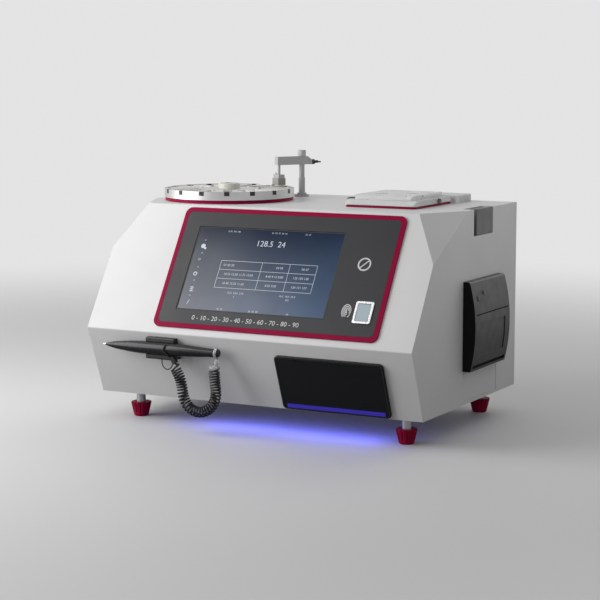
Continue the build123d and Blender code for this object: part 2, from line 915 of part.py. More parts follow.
def load_cell():
    """A steel block with a slot sawn across it, behind the fixed jaw."""
    y0 = fixed_jaw_y - load_cell_length
    cell = block(jaw_x - load_cell_width / 2, jaw_x + load_cell_width / 2, y0, fixed_jaw_y,
                 deck_top(), deck_top() + load_cell_height)
    middle = (y0 + fixed_jaw_y) / 2
    return cell - block(jaw_x - load_cell_width / 3, jaw_x + load_cell_width / 3,
                        middle - load_cell_slot / 2, middle + load_cell_slot / 2, deck_top() - overrun,
                        deck_top() + load_cell_height + overrun)


def moving_jaw_y():
    return fixed_jaw_y + jaw_thickness + jaw_gap


def moving_jaw():
    """The jaw that comes forward, with the threaded tail that its screw turns in."""
    y0 = moving_jaw_y()
    low = deck_top() + run_gap
    jaw = block(jaw_x - jaw_width / 2, jaw_x + jaw_width / 2, y0, y0 + jaw_thickness, low,
                deck_top() + jaw_height)
    jaw += block(jaw_x - jaw_tail_width / 2, jaw_x + jaw_tail_width / 2, y0 + jaw_thickness,
                 y0 + jaw_thickness + jaw_tail_length, low, deck_top() + jaw_height)
    return jaw - rod_y(jaw_x, deck_top() + screw_height, screw_radius + run_gap, y0 + jaw_thickness,
                       y0 + jaw_thickness + jaw_tail_length + overrun)


def lead_screw():
    start = moving_jaw_y() + jaw_thickness + screw_tip_gap
    return rod_y(jaw_x, deck_top() + screw_height, screw_radius, start, drive_y0 + drive_block_length / 2)


def jaw_motor():
    """The white gear block at the rear of the station, bored for the screw."""
    y1 = drive_y0 + drive_block_length
    body = block(drive_x0, drive_x1, drive_y0, y1, case_top, case_top + drive_height)
    body = fillet(body.edges().filter_by(Axis.Y).group_by(Axis.Z)[-1], drive_corner)
    return body - rod_y(jaw_x, deck_top() + screw_height, screw_radius + run_gap, drive_y0 - overrun,
                        drive_y0 + drive_block_length / 2 + run_gap)


def motor_cooler():
    """The grey motor block behind it, grooved round its sides and top."""
    y0 = drive_y0 + drive_block_length
    y1 = y0 + drive_motor_length
    top = case_top + drive_height - drive_motor_drop
    body = block(drive_x0, drive_x1, y0, y1, case_top, top)
    core = block(drive_x0 + cooler_groove_depth, drive_x1 - cooler_groove_depth, y0, y1, case_top,
                 top - cooler_groove_depth)
    for i in range(cooler_ribs):
        y = y0 + (i + 0.5) * drive_motor_length / cooler_ribs
        ring = block(drive_x0 - overrun, drive_x1 + overrun, y - cooler_groove / 2, y + cooler_groove / 2,
                     case_top - overrun, top + overrun)
        body -= ring - core
    return body


def cover_form(inset):
    """The two-stepped form of the clear cover, inset by its wall for the inside."""
    low = case_top + station_plate_thickness + cover_lift
    x0 = station_x0 - cover_overhang + inset
    x1 = station_x1 + cover_overhang - inset
    y0 = station_y0 - cover_overhang + inset
    y1 = station_y1 + cover_overhang - inset
    base = low - overrun if inset else low
    lower = block(x0, x1, y0, y1, base, case_top + cover_low_top - inset)
    lower = chamfer(lower.edges().filter_by(Axis.X).group_by(Axis.Z)[-1].sort_by(Axis.Y)[0], cover_bevel)
    lower = fillet(lower.edges().filter_by(Axis.Z), cover_corner - inset)
    upper = block(x0 + cover_step, x1 - cover_step, y0 + cover_front_step, y1 - cover_step, base,
                  case_top + cover_top - inset)
    upper = chamfer(upper.edges().filter_by(Axis.X).group_by(Axis.Z)[-1].sort_by(Axis.Y)[0],
                    cover_upper_bevel)
    upper = fillet(upper.edges().filter_by(Axis.Z), cover_corner - inset)
    return lower + upper


def station_cover():
    """The clear hood, its hinge knuckle on the left and a gap for the jaw's tail at the rear."""
    hood = cover_form(0) - cover_form(cover_wall)
    pin_x, pin_z = hinge_axis()
    lug_reach = pin_x + math.hypot(station_x0 + station_deck_inset * 2 - pin_x, hinge_radius) + fit_gap
    for y0 in (knuckle_y0 - fit_gap - lug_length, knuckle_y1 + fit_gap):
        hood -= block(pin_x - overrun * 2, lug_reach, y0 - fit_gap, y0 + lug_length + fit_gap,
                      case_top - overrun, case_top + cover_top + overrun)
    knuckle = rod_y(pin_x, pin_z, hinge_radius, knuckle_y0, knuckle_y1)
    knuckle += block(pin_x, station_x0 + cover_wall / 2, knuckle_y0, knuckle_y1, pin_z,
                     case_top + cover_low_top)
    hood += knuckle
    hood -= rod_y(pin_x, pin_z, hinge_pin_radius + run_gap, knuckle_y0 - overrun, knuckle_y1 + overrun)
    tail = jaw_tail_width / 2 + fit_gap * 2
    hood -= block(jaw_x - tail, jaw_x + tail, station_y1 - cover_step - cover_wall * 2, station_y1 + overrun,
                  case_top, deck_top() + jaw_height)
    return hood


def cover_knob():
    face = station_x1 + cover_overhang
    z = case_top + station_plate_thickness + cover_lift + cover_knob_radius
    knob = rod_x(cover_knob_y, z, cover_knob_radius, face, face + cover_knob_length)
    return fillet(knob.edges().filter_by(GeomType.CIRCLE).sort_by(Axis.X)[-1], cap_round)


def bulge(skin=0.0):
    """The printer's side outline as x and z: a bulged face over the housing's side wall."""
    low = (half_width + printer_low_reach - skin, printer_z0)
    middle = (half_width + printer_mid_reach - skin, printer_mid_z)
    high = (half_width + printer_top_reach - skin, printer_z1)
    curve = ThreePointArc(low, middle, high)
    back = Polyline(high, (half_width, printer_z1), (half_width, printer_z0), low)
    return make_face([curve.edge(), *back.edges()])


def printer_frame():
    """The dark frame: flanks, upper face, paper bay and the bar that the roll turns on."""
    y0 = printer_y0 + printer_flank
    y1 = printer_y1 - printer_flank
    frame = prism_y(bulge(), printer_y0, printer_y1)
    frame = fillet(frame.edges().filter_by(Axis.Y).group_by(Axis.Z)[-1].sort_by(Axis.X)[-1], printer_corner)
    bay_x = half_width - printer_bay_depth
    z0 = printer_z0 + printer_wall + fit_gap
    z1 = printer_z1 - printer_wall - fit_gap
    frame += block(bay_x, half_width, y0 + fit_gap, y1 - fit_gap, z0, z1)
    frame -= block(bay_x + printer_wall, half_width + fit_gap, y0 + printer_wall, y1 - printer_wall,
                   z0 + printer_wall, z1 - printer_wall)
    cut_top = printer_split_z + printer_slot / 2
    frame -= block(half_width - fit_gap, half_width + overrun * 4, y0, y1, printer_z0 + door_lip, cut_top)
    hollow = prism_y(bulge(printer_skin), y0, y1)
    frame -= hollow & block(0, reach_far, y0, y1, cut_top, z1 - printer_wall)
    pin_x, pin_z = door_axis()
    frame -= rod_y(pin_x, pin_z, door_pin_radius + run_gap, y0 - door_pin_length - fit_gap,
                   y1 + door_pin_length + fit_gap)
    for y, z in ((feed_button_y, feed_button_z), (power_button_y, power_button_z)):
        frame -= rod_x(y, z, button_radius + run_gap, half_width, half_width + overrun * 4)
    return frame + rod_y(paper_x(), paper_z, paper_spindle_radius, y0 + printer_wall, y1 - printer_wall)


def paper_x():
    return half_width - printer_bay_depth / 2


def door_axis():
    """The printer door's hinge line, as x and z."""
    return half_width + printer_low_reach - door_round, printer_z0 + door_lip + door_round + door_lip_gap


def printer_door():
    """The bulged lower door, round at its hinge, with a sunk panel and a catch."""
    y0 = printer_y0 + printer_flank + fit_gap
    y1 = printer_y1 - printer_flank - fit_gap
    pin_x, pin_z = door_axis()
    top = printer_split_z - printer_slot / 2
    leaf = prism_y(bulge(), y0, y1) & block(pin_x - door_round, reach_far, y0, y1, pin_z, top)
    leaf += rod_y(pin_x, pin_z, door_round, y0, y1)
    inset = door_panel_inset
    face = prism_y(bulge(door_panel_depth), y0, y1)
    panel = block(half_width, reach_far, y0 + inset, y1 - inset, pin_z + inset, top - inset)
    leaf -= panel - face
    leaf += rod_y(pin_x, pin_z, door_pin_radius, y0 - door_pin_length, y1 + door_pin_length)
    leaf -= rod_y(platen_x(), platen_z, platen_radius + fit_gap * 2, y0 + platen_ear, y1 - platen_ear)
    for y in (y0, y1 - platen_ear):
        leaf += block(platen_x() - platen_radius, pin_x, y, y + platen_ear, platen_z - platen_radius, top)
    bore_radius = platen_radius / 3 + run_gap
    return leaf - rod_y(platen_x(), platen_z, bore_radius, y0 - overrun, y0 + platen_ear) - rod_y(
        platen_x(), platen_z, bore_radius, y1 - platen_ear, y1 + overrun)


def platen_x():
    return half_width + platen_radius + fit_gap * 2


def platen_roller():
    y0 = printer_y0 + printer_flank + platen_ear + fit_gap * 2
    y1 = printer_y1 - printer_flank - platen_ear - fit_gap * 2
    roller = rod_y(platen_x(), platen_z, platen_radius, y0, y1)
    reach = fit_gap * 2 + platen_ear / 3
    return roller + rod_y(platen_x(), platen_z, platen_radius / 3, y0 - reach, y1 + reach)


def paper_roll():
    middle = (printer_y0 + printer_y1) / 2
    y0 = middle - paper_length / 2
    y1 = middle + paper_length / 2
    roll = rod_y(paper_x(), paper_z, paper_radius, y0, y1)
    return roll - rod_y(paper_x(), paper_z, paper_spindle_radius + paper_core_gap, y0 - overrun, y1 + overrun)


def printer_button(y, z):
    """A round button through the printer's upper face, with a rim behind it."""
    chord = prism_y(bulge(), y - button_radius, y + button_radius)
    face = (chord & rod_x(y, z, button_radius, half_width, reach_far)).bounding_box().max.X
    back = face - printer_skin - button_rim - button_back_gap
    stem = rod_x(y, z, button_radius, back, face + button_proud)
    return stem + rod_x(y, z, button_radius + button_rim, back, back + button_rim)


def drawer_tray():
    """The open tray, its front wall leaning like the smoked front that it carries."""
    x0, x1 = tray_span()
    outer = block(x0, x1, -overrun, undercut + tray_depth, tray_bottom, tray_top)
    inner = block(x0 + tray_wall, x1 - tray_wall, -overrun, undercut + tray_depth - tray_wall,
                  tray_bottom + tray_wall, tray_top + overrun)
    outer -= beyond(lower_front, fit_gap)
    inner -= beyond(lower_front, fit_gap - tray_wall)
    return outer - inner


def drawer_front():
    middle = drawer_low + drawer_height / 2
    return plate(lower_front, drawer_x, middle, drawer_width, drawer_height, fit_gap,
                 fit_gap + drawer_front_thickness, drawer_front_corner)


def drawer_rails():
    """Two rails on the floor under the tray's edges, with a low fence outside each."""
    x0, x1 = tray_span()
    y0 = undercut + rail_start
    rails = []
    for side, edge in ((-1, x0), (1, x1)):
        inner = edge - side * rail_width / 2
        outer = edge + side * rail_width / 2
        rail = block(min(inner, outer), max(inner, outer), y0, y0 + rail_length, floor_top,
                     tray_bottom - fit_gap)
        fence = edge + side * fit_gap
        rail += block(min(fence, outer), max(fence, outer), y0, y0 + rail_length, floor_top,
                      tray_bottom + rail_width)
        rails.append(rail)
    return Compound(rails)


def led_strip():
    return block(strip_x0, strip_x1, strip_y - strip_width / 2, strip_y + strip_width / 2,
                 case_bottom - strip_height, case_bottom)


def pen_holder():
    """The black holder on the lower front, slotted for the pen, with the cord's strain relief."""
    body = block(holder_x0, holder_x1, holder_front, undercut, holder_z0, holder_z1)
    body = fillet(body.edges().filter_by(Axis.X).group_by(Axis.Y)[0], holder_corner)
    body &= beyond(lower_front)
    radius = pen_radius + holder_slot_gap
    slot = rod_x(pen_y, pen_z, radius, holder_x0 - overrun, holder_x1 + overrun)
    slot += block(holder_x0 - overrun, holder_x1 + overrun, holder_front - overrun, pen_y,
                  pen_z - radius, pen_z + radius)
    exit_point, direction = cord_start()
    gland = Plane(origin=exit_point, z_dir=direction).location * Pos(0, 0, -gland_length / 2)
    body += gland * Cylinder(gland_radius, gland_length)
    return body - slot


def pen_places():
    """Where the pen's profile changes, as distances from its tip and radii."""
    return [
        (pen_tip_length, pen_tip_radius),
        (pen_tip_length * 2, (pen_tip_radius + pen_radius) / 2),
        (pen_length * pen_grip_share, pen_radius),
        (pen_length * pen_shoulder_share, pen_radius),
        (pen_length - pen_tip_length, pen_tail_radius),
        (pen_length, pen_tail_radius),
    ]


def pen_barrel():
    points = [(pen_tip_x + along, radius) for along, radius in pen_places()]
    outline = make_face(Polyline((points[0][0], 0), *points, (points[-1][0], 0), close=True))
    barrel = revolve(Plane.XZ.location * outline, Axis.X)
    return Pos(0, pen_y, pen_z) * barrel


def pen_tip():
    base_x = pen_tip_x + pen_tip_length
    outline = make_face(Polyline((pen_tip_x, 0), (pen_tip_x, pen_point_radius), (base_x, pen_tip_radius),
                                 (base_x, 0), close=True))
    return Pos(0, pen_y, pen_z) * revolve(Plane.XZ.location * outline, Axis.X)


def cord_swivel():
    """The ring round the pen's end and the sleeve that hangs from it."""
    ring = rod_x(pen_y, pen_z, pen_tail_radius + run_gap + ring_wall, ring_x - ring_width / 2,
                 ring_x + ring_width / 2)
    ring += post(ring_x, pen_y, sleeve_radius, sleeve_bottom, pen_z - pen_tail_radius)
    return ring - rod_x(pen_y, pen_z, pen_tail_radius + run_gap, ring_x - ring_width, ring_x + ring_width)


def cord_axis():
    """The coil's axis: straight runs joined by tangent arcs, each as large as its runs allow."""
    points = [Vector(x, 0, z) for x, z in cord_route]
    radii = []
    for before, corner, after in zip(points, points[1:], points[2:]):
        turn = math.radians((corner - before).get_angle(after - corner))
        shorter = min((corner - before).length, (after - corner).length)
        radii.append(arc_share * shorter / math.tan(turn / 2))
    return FilletPolyline(*points, radius=radii), radii


def cord_start():
    """Where the cord leaves its strain relief, and in which direction."""
    direction = Vector(cord_route[1][0] - cord_route[0][0], 0,
                       cord_route[1][1] - cord_route[0][1]).normalized()
    return Vector(cord_route[0][0], pen_y, cord_route[0][1]), direction


def curl_point(axis, turns, share, lead):
    """A point of the helix round the coil's axis. Turns lie wider in the bend, and the end ones climb faster."""
    opening = min(max(turns * share * 2, 0), 1) - min(max(turns * (1 - share) * 2, 0), 1)
    steady = axis.length - (lead + coil_end_rise) * 2
    spread = coil_spread_share * math.sin(2 * math.pi * share) / (2 * math.pi)
    along = axis.length / 2 + (share - 1 / 2 - spread) * steady + opening * coil_end_rise
    centre = axis.position_at(along, PositionMode.LENGTH)
    forward = axis.tangent_at(along, PositionMode.LENGTH)
    across = forward.cross(Vector(0, 1, 0))
    angle = 2 * math.pi * turns * share
    swing = across * math.sin(angle) + Vector(0, 1, 0) * math.cos(angle)
    return centre + Vector(0, pen_y - coil_radius, 0) + swing * coil_radius


def biarc(start, start_way, end, end_way):
    """Two arcs that meet smoothly, from one point and direction to another."""
    span = end - start
    both = start_way + end_way
    slack = 2 * (1 - start_way.dot(end_way))
    reach = (math.sqrt(span.dot(both) ** 2 + slack * span.dot(span)) - span.dot(both)) / slack
    first = start + start_way * reach
    second = end - end_way * reach
    middle = (first + second) / 2
    return [Edge.make_tangent_arc(start, start_way, middle),
            Edge.make_tangent_arc(middle, second - first, end)]


def curly_cord():
    """The curly cord as one unbroken tube, straight at both ends."""
    axis, radii = cord_axis()
    axis = Wire(axis.edges())
    lead = cord_diameter
    turns = round((axis.length - (lead + coil_end_rise) * 2) / coil_pitch)
    count = turns * coil_steps
    small = 1 / (count * 100)
    points = [curl_point(axis, turns, i / count, lead) for i in range(count + 1)]
    ways = []
    for i in range(count + 1):
        ahead = curl_point(axis, turns, i / count + small, lead)
        behind = curl_point(axis, turns, i / count - small, lead)
        ways.append((ahead - behind).normalized())
    down = axis.tangent_at(0)
    up = axis.tangent_at(1)
    ways[0] = down
    ways[-1] = up
    edges = [Edge.make_line(points[0] - down * lead, points[0])]
    for i in range(count):
        edges += biarc(points[i], ways[i], points[i + 1], ways[i + 1])
    edges.append(Edge.make_line(points[-1], points[-1] + up * lead))
    path = Wire(edges)
    print("cord length", round(path.length, 1), "turns", turns, "axis radii", [round(r, 1) for r in radii])
    print("cord least gap", round(cord_gap(path, turns), 2))
    section = Plane(origin=points[0] - down * lead, z_dir=down).location * Circle(cord_diameter / 2)
    return sweep(section, path=path)


def cord_gap(path, turns):
    """The least gap between the cord and itself, measured on points along it."""
    steps = 24
    count = turns * steps
    points = [path.position_at(path.length * i / count, PositionMode.LENGTH) for i in range(count + 1)]
    least = path.length
    for i, point in enumerate(points):
        for other in points[i + steps // 2:i + steps * 3]:
            least = min(least, (point - other).length)
    return least - cord_diameter


def main_board():
    low = floor_top + board_rise
    board = block(board_x0, board_x1, board_y0, board_y1, low, low + board_thickness)
    top = low + board_thickness
    for column in range(1, 5):
        for row in range(1, 4):
            x = board_x0 + (board_x1 - board_x0) * column / 5
            y = board_y0 + (board_y1 - board_y0) * row / 4
            board += block(x - board_chip / 2, x + board_chip / 2, y - board_chip / 2, y + board_chip / 2,
                           top, top + board_chip_height)
    return board


def power_supply():
    top = floor_top + supply_height
    box = block(supply_x0, supply_x1, supply_y0, supply_y1, floor_top, top)
    for i in range(1, 8):
        x = supply_x0 + (supply_x1 - supply_x0) * i / 8
        box -= block(x - supply_lid, x + supply_lid, supply_y0 + standoff_inset, supply_y1 - standoff_inset,
                     top - supply_lid, top + overrun)
    return box


def power_inlet():
    """The inlet with its three pins below, and the switch's well above."""
    rear = case_depth + inlet_flange
    flange = plate(Plane.XZ.offset(-case_depth), inlet_x, inlet_z, inlet_width, inlet_height, -inlet_flange,
                   0, inlet_corner)
    inset = inlet_border + fit_gap
    body = block(inlet_x - inlet_width / 2 + inset, inlet_x + inlet_width / 2 - inset,
                 case_depth - inlet_body_depth, case_depth,
                 inlet_z - inlet_height / 2 + inset, inlet_z + inlet_height / 2 - inset)
    part = flange + body
    mouth_z = inlet_z - inlet_mouth_drop
    mouth = block(inlet_x - inlet_mouth_width / 2, inlet_x + inlet_mouth_width / 2, rear - inlet_mouth_depth,
                  rear + overrun, mouth_z - inlet_mouth_height / 2, mouth_z + inlet_mouth_height / 2)
    part -= mouth
    for side in (-1, 0, 1):
        x = inlet_x + side * inlet_pin_pitch
        z = mouth_z + (inlet_pin_height / 2 if side == 0 else -inlet_pin_height / 4)
        part += block(x - inlet_pin_width / 2, x + inlet_pin_width / 2, rear - inlet_mouth_depth,
                      rear - inlet_mouth_depth + inlet_pin_length, z - inlet_pin_height / 2,
                      z + inlet_pin_height / 2)
    well = rocker_half + fit_gap
    well_depth = rocker_round + fit_gap
    rocker_z = inlet_z + rocker_rise
    part -= block(inlet_x - rocker_width / 2 - fit_gap, inlet_x + rocker_width / 2 + fit_gap,
                  rear - well_depth, rear + overrun, rocker_z - well, rocker_z + well)
    reach = rocker_width / 2 + rocker_pin_length + fit_gap
    return part - rod_x(rear, rocker_z, rocker_pin_radius + run_gap, inlet_x - reach, inlet_x + reach)


def rocker_switch():
    """The rocker, tipped to its off side, on its two short pins."""
    rear = case_depth + inlet_flange
    crown = rocker_crown
    under = ThreePointArc((-crown, rocker_round), (-rocker_round, 0), (-crown, -rocker_round))
    top = Polyline((-crown, -rocker_round), (crown, -rocker_round), (crown / 2, 0), (crown, rocker_round),
                   (-crown, rocker_round))
    outline = make_face([under.edge(), *top.edges()])
    body = prism_x(outline, -rocker_width / 2, rocker_width / 2)
    reach = rocker_width / 2 + rocker_pin_length
    body += rod_x(0, 0, rocker_pin_radius, -reach, reach)
    return Pos(inlet_x, rear, inlet_z + rocker_rise) * Rot(rocker_tilt, 0, 0) * body


def port_block():
    """Two sockets in one metal block, behind the rear panel."""
    rear = case_depth + ports_flange
    part = block(ports_x - ports_width / 2, ports_x + ports_width / 2, case_depth, rear,
                 ports_z - ports_height / 2, ports_z + ports_height / 2)
    inset = ports_border + fit_gap
    part += block(ports_x - ports_width / 2 + inset, ports_x + ports_width / 2 - inset,
                  case_depth - ports_depth, case_depth,
                  ports_z - ports_height / 2 + inset, ports_z + ports_height / 2 - inset)
    for side in (-1, 1):
        x = ports_x + side * port_pitch / 2
        part -= block(x - port_mouth_width / 2, x + port_mouth_width / 2, rear - port_mouth_depth,
                      rear + overrun, ports_z - port_mouth_height / 2, ports_z + port_mouth_height / 2)
    return part


def case_screws():
    screws = []
    for x, z in screw_places():
        shank = rod_y(x, z, case_screw_radius, case_depth - case_screw_length, case_depth)
        head = rod_y(x, z, case_screw_head, case_depth, case_depth + case_screw_head_height)
        screws.append(shank + head)
    return Compound(screws)


pieces = {
    "housing_shell": housing_shell(),
    "base_plate": base_plate(),
    "rear_panel": rear_panel(),
    "service_hatch": service_hatch(),
    "latch_pocket": latch_pocket(),
    "side_latch": side_latch(),
    "foot_pads": foot_pads(),
    "foot_studs": foot_studs(),
    "panel_bezel": panel_bezel(),
    "panel_overlay": panel_overlay(),
    "display_glass": display_glass(),
    "display_module": display_module(),
    "fingerprint_frame": fingerprint_frame(),
    "fingerprint_sensor": fingerprint_sensor(),
    "turntable_base": turntable_base(),
    "turntable_disc": turntable_disc(),
    "station_blocks": station_blocks(),
    "turntable_hub": turntable_hub(),
    "turntable_shaft": turntable_shaft(),
    "turntable_bearing": turntable_bearing(),
    "turntable_motor": turntable_motor(),
    "column_flange": column_flange(),
    "arm_column": arm_column(),
    "swing_arm": swing_arm(),
    "arm_cap": arm_cap(),
    "clamp_knob": clamp_knob(),
    "probe_rod": probe_rod(),
    "probe_head": probe_head(),
    "probe_block": probe_block(),
    "station_plate": station_plate(),
    "station_deck": station_deck(),
    "fixed_jaw": fixed_jaw(),
    "load_cell": load_cell(),
    "moving_jaw": moving_jaw(),
    "lead_screw": lead_screw(),
    "jaw_motor": jaw_motor(),
    "motor_cooler": motor_cooler(),
    "station_cover": station_cover(),
    "cover_knob": cover_knob(),
    "printer_frame": printer_frame(),
    "printer_door": printer_door(),
    "paper_roll": paper_roll(),
    "platen_roller": platen_roller(),
    "feed_button": printer_button(feed_button_y, feed_button_z),
    "power_button": printer_button(power_button_y, power_button_z),
    "drawer_tray": drawer_tray(),
    "drawer_front": drawer_front(),
    "drawer_rails": drawer_rails(),
    "led_strip": led_strip(),
    "pen_holder": pen_holder(),
    "pen_barrel": pen_barrel(),
    "pen_tip": pen_tip(),
    "cord_swivel": cord_swivel(),
    "curly_cord": curly_cord(),
    "main_board": main_board(),
    "power_supply": power_supply(),
    "power_inlet": power_inlet(),
    "rocker_switch": rocker_switch(),
    "port_block": port_block(),
    "case_screws": case_screws(),
}

cord_pieces = ("curly_cord", "cord_swivel")
boxes = [shape.bounding_box() for name, shape in pieces.items() if name not in cord_pieces]
origin_x = (min(b.min.X for b in boxes) + max(b.max.X for b in boxes)) / 2
origin_y = (min(b.min.Y for b in boxes) + max(b.max.Y for b in boxes)) / 2
print("origin", round(origin_x, 4), round(origin_y, 4))

os.makedirs("parts", exist_ok=True)
for name, shape in pieces.items():
    export_step(Pos(-origin_x, -origin_y, 0) * shape, f"parts/{name}.step")
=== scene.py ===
import json
import math

import bmesh
import bpy
from mathutils import Matrix, Vector


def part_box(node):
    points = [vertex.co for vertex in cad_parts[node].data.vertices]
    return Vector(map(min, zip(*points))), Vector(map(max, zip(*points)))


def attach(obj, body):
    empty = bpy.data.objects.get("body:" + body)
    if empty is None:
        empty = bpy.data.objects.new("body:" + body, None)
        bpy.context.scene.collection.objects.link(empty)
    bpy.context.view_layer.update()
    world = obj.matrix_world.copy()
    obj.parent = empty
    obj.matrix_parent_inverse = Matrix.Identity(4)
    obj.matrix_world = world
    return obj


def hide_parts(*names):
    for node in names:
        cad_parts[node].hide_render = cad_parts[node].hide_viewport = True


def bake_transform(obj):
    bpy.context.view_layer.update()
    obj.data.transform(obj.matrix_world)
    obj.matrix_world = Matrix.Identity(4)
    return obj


# A bench tester for the hardness of tablets, dressed around its frame. Sizes are in metres.

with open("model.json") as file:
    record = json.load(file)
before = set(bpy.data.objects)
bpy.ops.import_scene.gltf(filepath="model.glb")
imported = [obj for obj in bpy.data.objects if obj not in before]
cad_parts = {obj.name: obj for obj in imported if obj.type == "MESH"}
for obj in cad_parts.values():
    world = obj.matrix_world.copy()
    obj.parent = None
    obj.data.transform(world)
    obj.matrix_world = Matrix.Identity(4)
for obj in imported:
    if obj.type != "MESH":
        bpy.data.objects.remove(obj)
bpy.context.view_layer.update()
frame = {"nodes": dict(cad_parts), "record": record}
nodes = frame["nodes"]
body_of = {n: body for body, members in frame["record"]["behaviour"]["bodies"].items() for n in members}
slot_of = {part["node"]: part["material_slot"] for part in frame["record"]["subparts"]}

along_x = Vector((1, 0, 0))
along_y = Vector((0, 1, 0))
up_z = Vector((0, 0, 1))
origin = Vector((0, 0, 0))
weld = 1e-6
full_turn = 2 * math.pi


class Nodes:
    """A node tree under construction."""

    def __init__(self, graph):
        self.graph = graph

    def wire(self, socket, value):
        """An input linked to an output, or set to a value."""
        if isinstance(value, bpy.types.NodeSocket):
            self.graph.links.new(value, socket)
        else:
            socket.default_value = value

    def add(self, kind, wires, output=0, **settings):
        """One node, with its inputs wired or set. Gives the output that is asked for."""
        node = self.graph.nodes.new(kind)
        for key, value in settings.items():
            setattr(node, key, value)
        for key, value in wires.items():
            for one in value if isinstance(value, list) else [value]:
                self.wire(node.inputs[key], one)
        return node.outputs[output]


# Finishes

class Finish(Nodes):
    """A material under construction. Its nodes read the place on the object."""

    def __init__(self, name, colour, roughness, metallic=0.0):
        self.material = bpy.data.materials.new(name)
        self.material.use_nodes = True
        super().__init__(self.material.node_tree)
        self.shader = self.graph.nodes["Principled BSDF"]
        self.place = self.add("ShaderNodeTexCoord", {}, "Object")
        self.feed("Base Color", (*colour, 1))
        self.feed("Roughness", roughness)
        self.feed("Metallic", metallic)

    def feed(self, key, value):
        """An input of the shader itself."""
        self.wire(self.shader.inputs[key], value)

    def grain(self, size, detail=3.0, stretch=(1, 1, 1)):
        """Noise with features of a size, drawn out along an axis where its stretch is under one."""
        place = self.add("ShaderNodeMapping", {"Vector": self.place, "Scale": stretch})
        return self.add("ShaderNodeTexNoise", {"Vector": place, "Scale": 1 / size, "Detail": detail})

    def spread(self, value, low, high, start=0.3, end=0.7):
        """A value between start and end, carried over to between low and high."""
        wires = {"Value": value, "From Min": start, "From Max": end, "To Min": low, "To Max": high}
        return self.add("ShaderNodeMapRange", wires)

    def blend(self, share, first, second):
        """A mix of two colours."""
        node = self.graph.nodes.new("ShaderNodeMix")
        node.data_type = "RGBA"
        self.wire(node.inputs["Factor"], share)
        for place, colour in ((6, first), (7, second)):
            self.wire(node.inputs[place], (*colour, 1) if isinstance(colour, tuple) else colour)
        return node.outputs[2]

    def relief(self, height, depth):
        wires = {"Height": height, "Distance": depth, "Strength": 1.0}
        self.feed("Normal", self.add("ShaderNodeBump", wires, "Normal"))

    def shaded(self, pattern, colour, change, key="Base Color"):
        """A colour that is a little darker where the pattern is low."""
        darker = tuple(c * (1 - change) for c in colour)
        self.feed(key, self.blend(self.spread(pattern, 0, 1), darker, colour))

    def worn(self, pattern, roughness, low, high):
        """A roughness that drifts with the pattern, between two shares of itself."""
        self.feed("Roughness", self.spread(pattern, roughness * low, roughness * high))


def coated(name, colour, roughness, peel_size, peel_depth, coat=0.0, shine=0.5):
    """A sprayed or baked coat, with a fine skin and slow changes of colour and gloss."""
    finish = Finish(name, colour, roughness)
    finish.feed("Specular IOR Level", shine)
    finish.shaded(finish.grain(size=0.09), colour, change=0.05)
    finish.worn(finish.grain(size=0.03), roughness, low=0.9, high=1.12)
    finish.feed("Coat Weight", coat)
    finish.relief(finish.grain(peel_size, detail=2.0), peel_depth)
    return finish.material


def moulded(name, colour, roughness, grain_size=0.0007, grain_depth=0.00004, shine=0.5):
    """Moulded plastic with a fine spark-eroded grain."""
    finish = Finish(name, colour, roughness)
    finish.feed("Specular IOR Level", shine)
    finish.shaded(finish.grain(size=0.02), colour, change=0.12)
    finish.worn(finish.grain(size=0.012), roughness, low=0.88, high=1.15)
    finish.relief(finish.grain(grain_size, detail=4.0), grain_depth)
    return finish.material


def brushed(name, colour, roughness, stretch):
    """Metal with fine lines drawn out along the axis whose stretch is small."""
    finish = Finish(name, colour, roughness, metallic=1.0)
    lines = finish.grain(size=0.0006, detail=4.0, stretch=stretch)
    finish.worn(lines, roughness, low=0.75, high=1.3)
    finish.shaded(lines, colour, change=0.14)
    finish.relief(lines, depth=0.00001)
    return finish.material


def lathed(name, colour, roughness, centre, metallic=1.0):
    """Metal or plastic from a lathe, with rings round an upright axis."""
    ring_size = 0.0004
    finish = Finish(name, colour, roughness, metallic)
    wires = {"Vector": finish.place, "Location": (-centre.x, -centre.y, 0), "Scale": (1, 1, 0)}
    flat = finish.add("ShaderNodeMapping", wires)
    radius = finish.add("ShaderNodeVectorMath", {0: flat}, "Value", operation="LENGTH")
    wires = {"W": radius, "Scale": 1 / ring_size, "Detail": 3.0}
    rings = finish.add("ShaderNodeTexNoise", wires, noise_dimensions="1D")
    finish.worn(rings, roughness, low=0.75, high=1.3)
    finish.shaded(rings, colour, change=0.14)
    finish.relief(rings, depth=0.000012)
    return finish.material


def clear(name, colour, roughness, clearness, bending):
    """Clear moulded plastic, with a faint cloud in it."""
    finish = Finish(name, colour, roughness)
    finish.feed("Transmission Weight", clearness)
    finish.feed("IOR", bending)
    finish.worn(finish.grain(size=0.02), roughness, low=0.8, high=1.25)
    finish.relief(finish.grain(size=0.02, detail=2.0), depth=0.000006)
    return finish.material


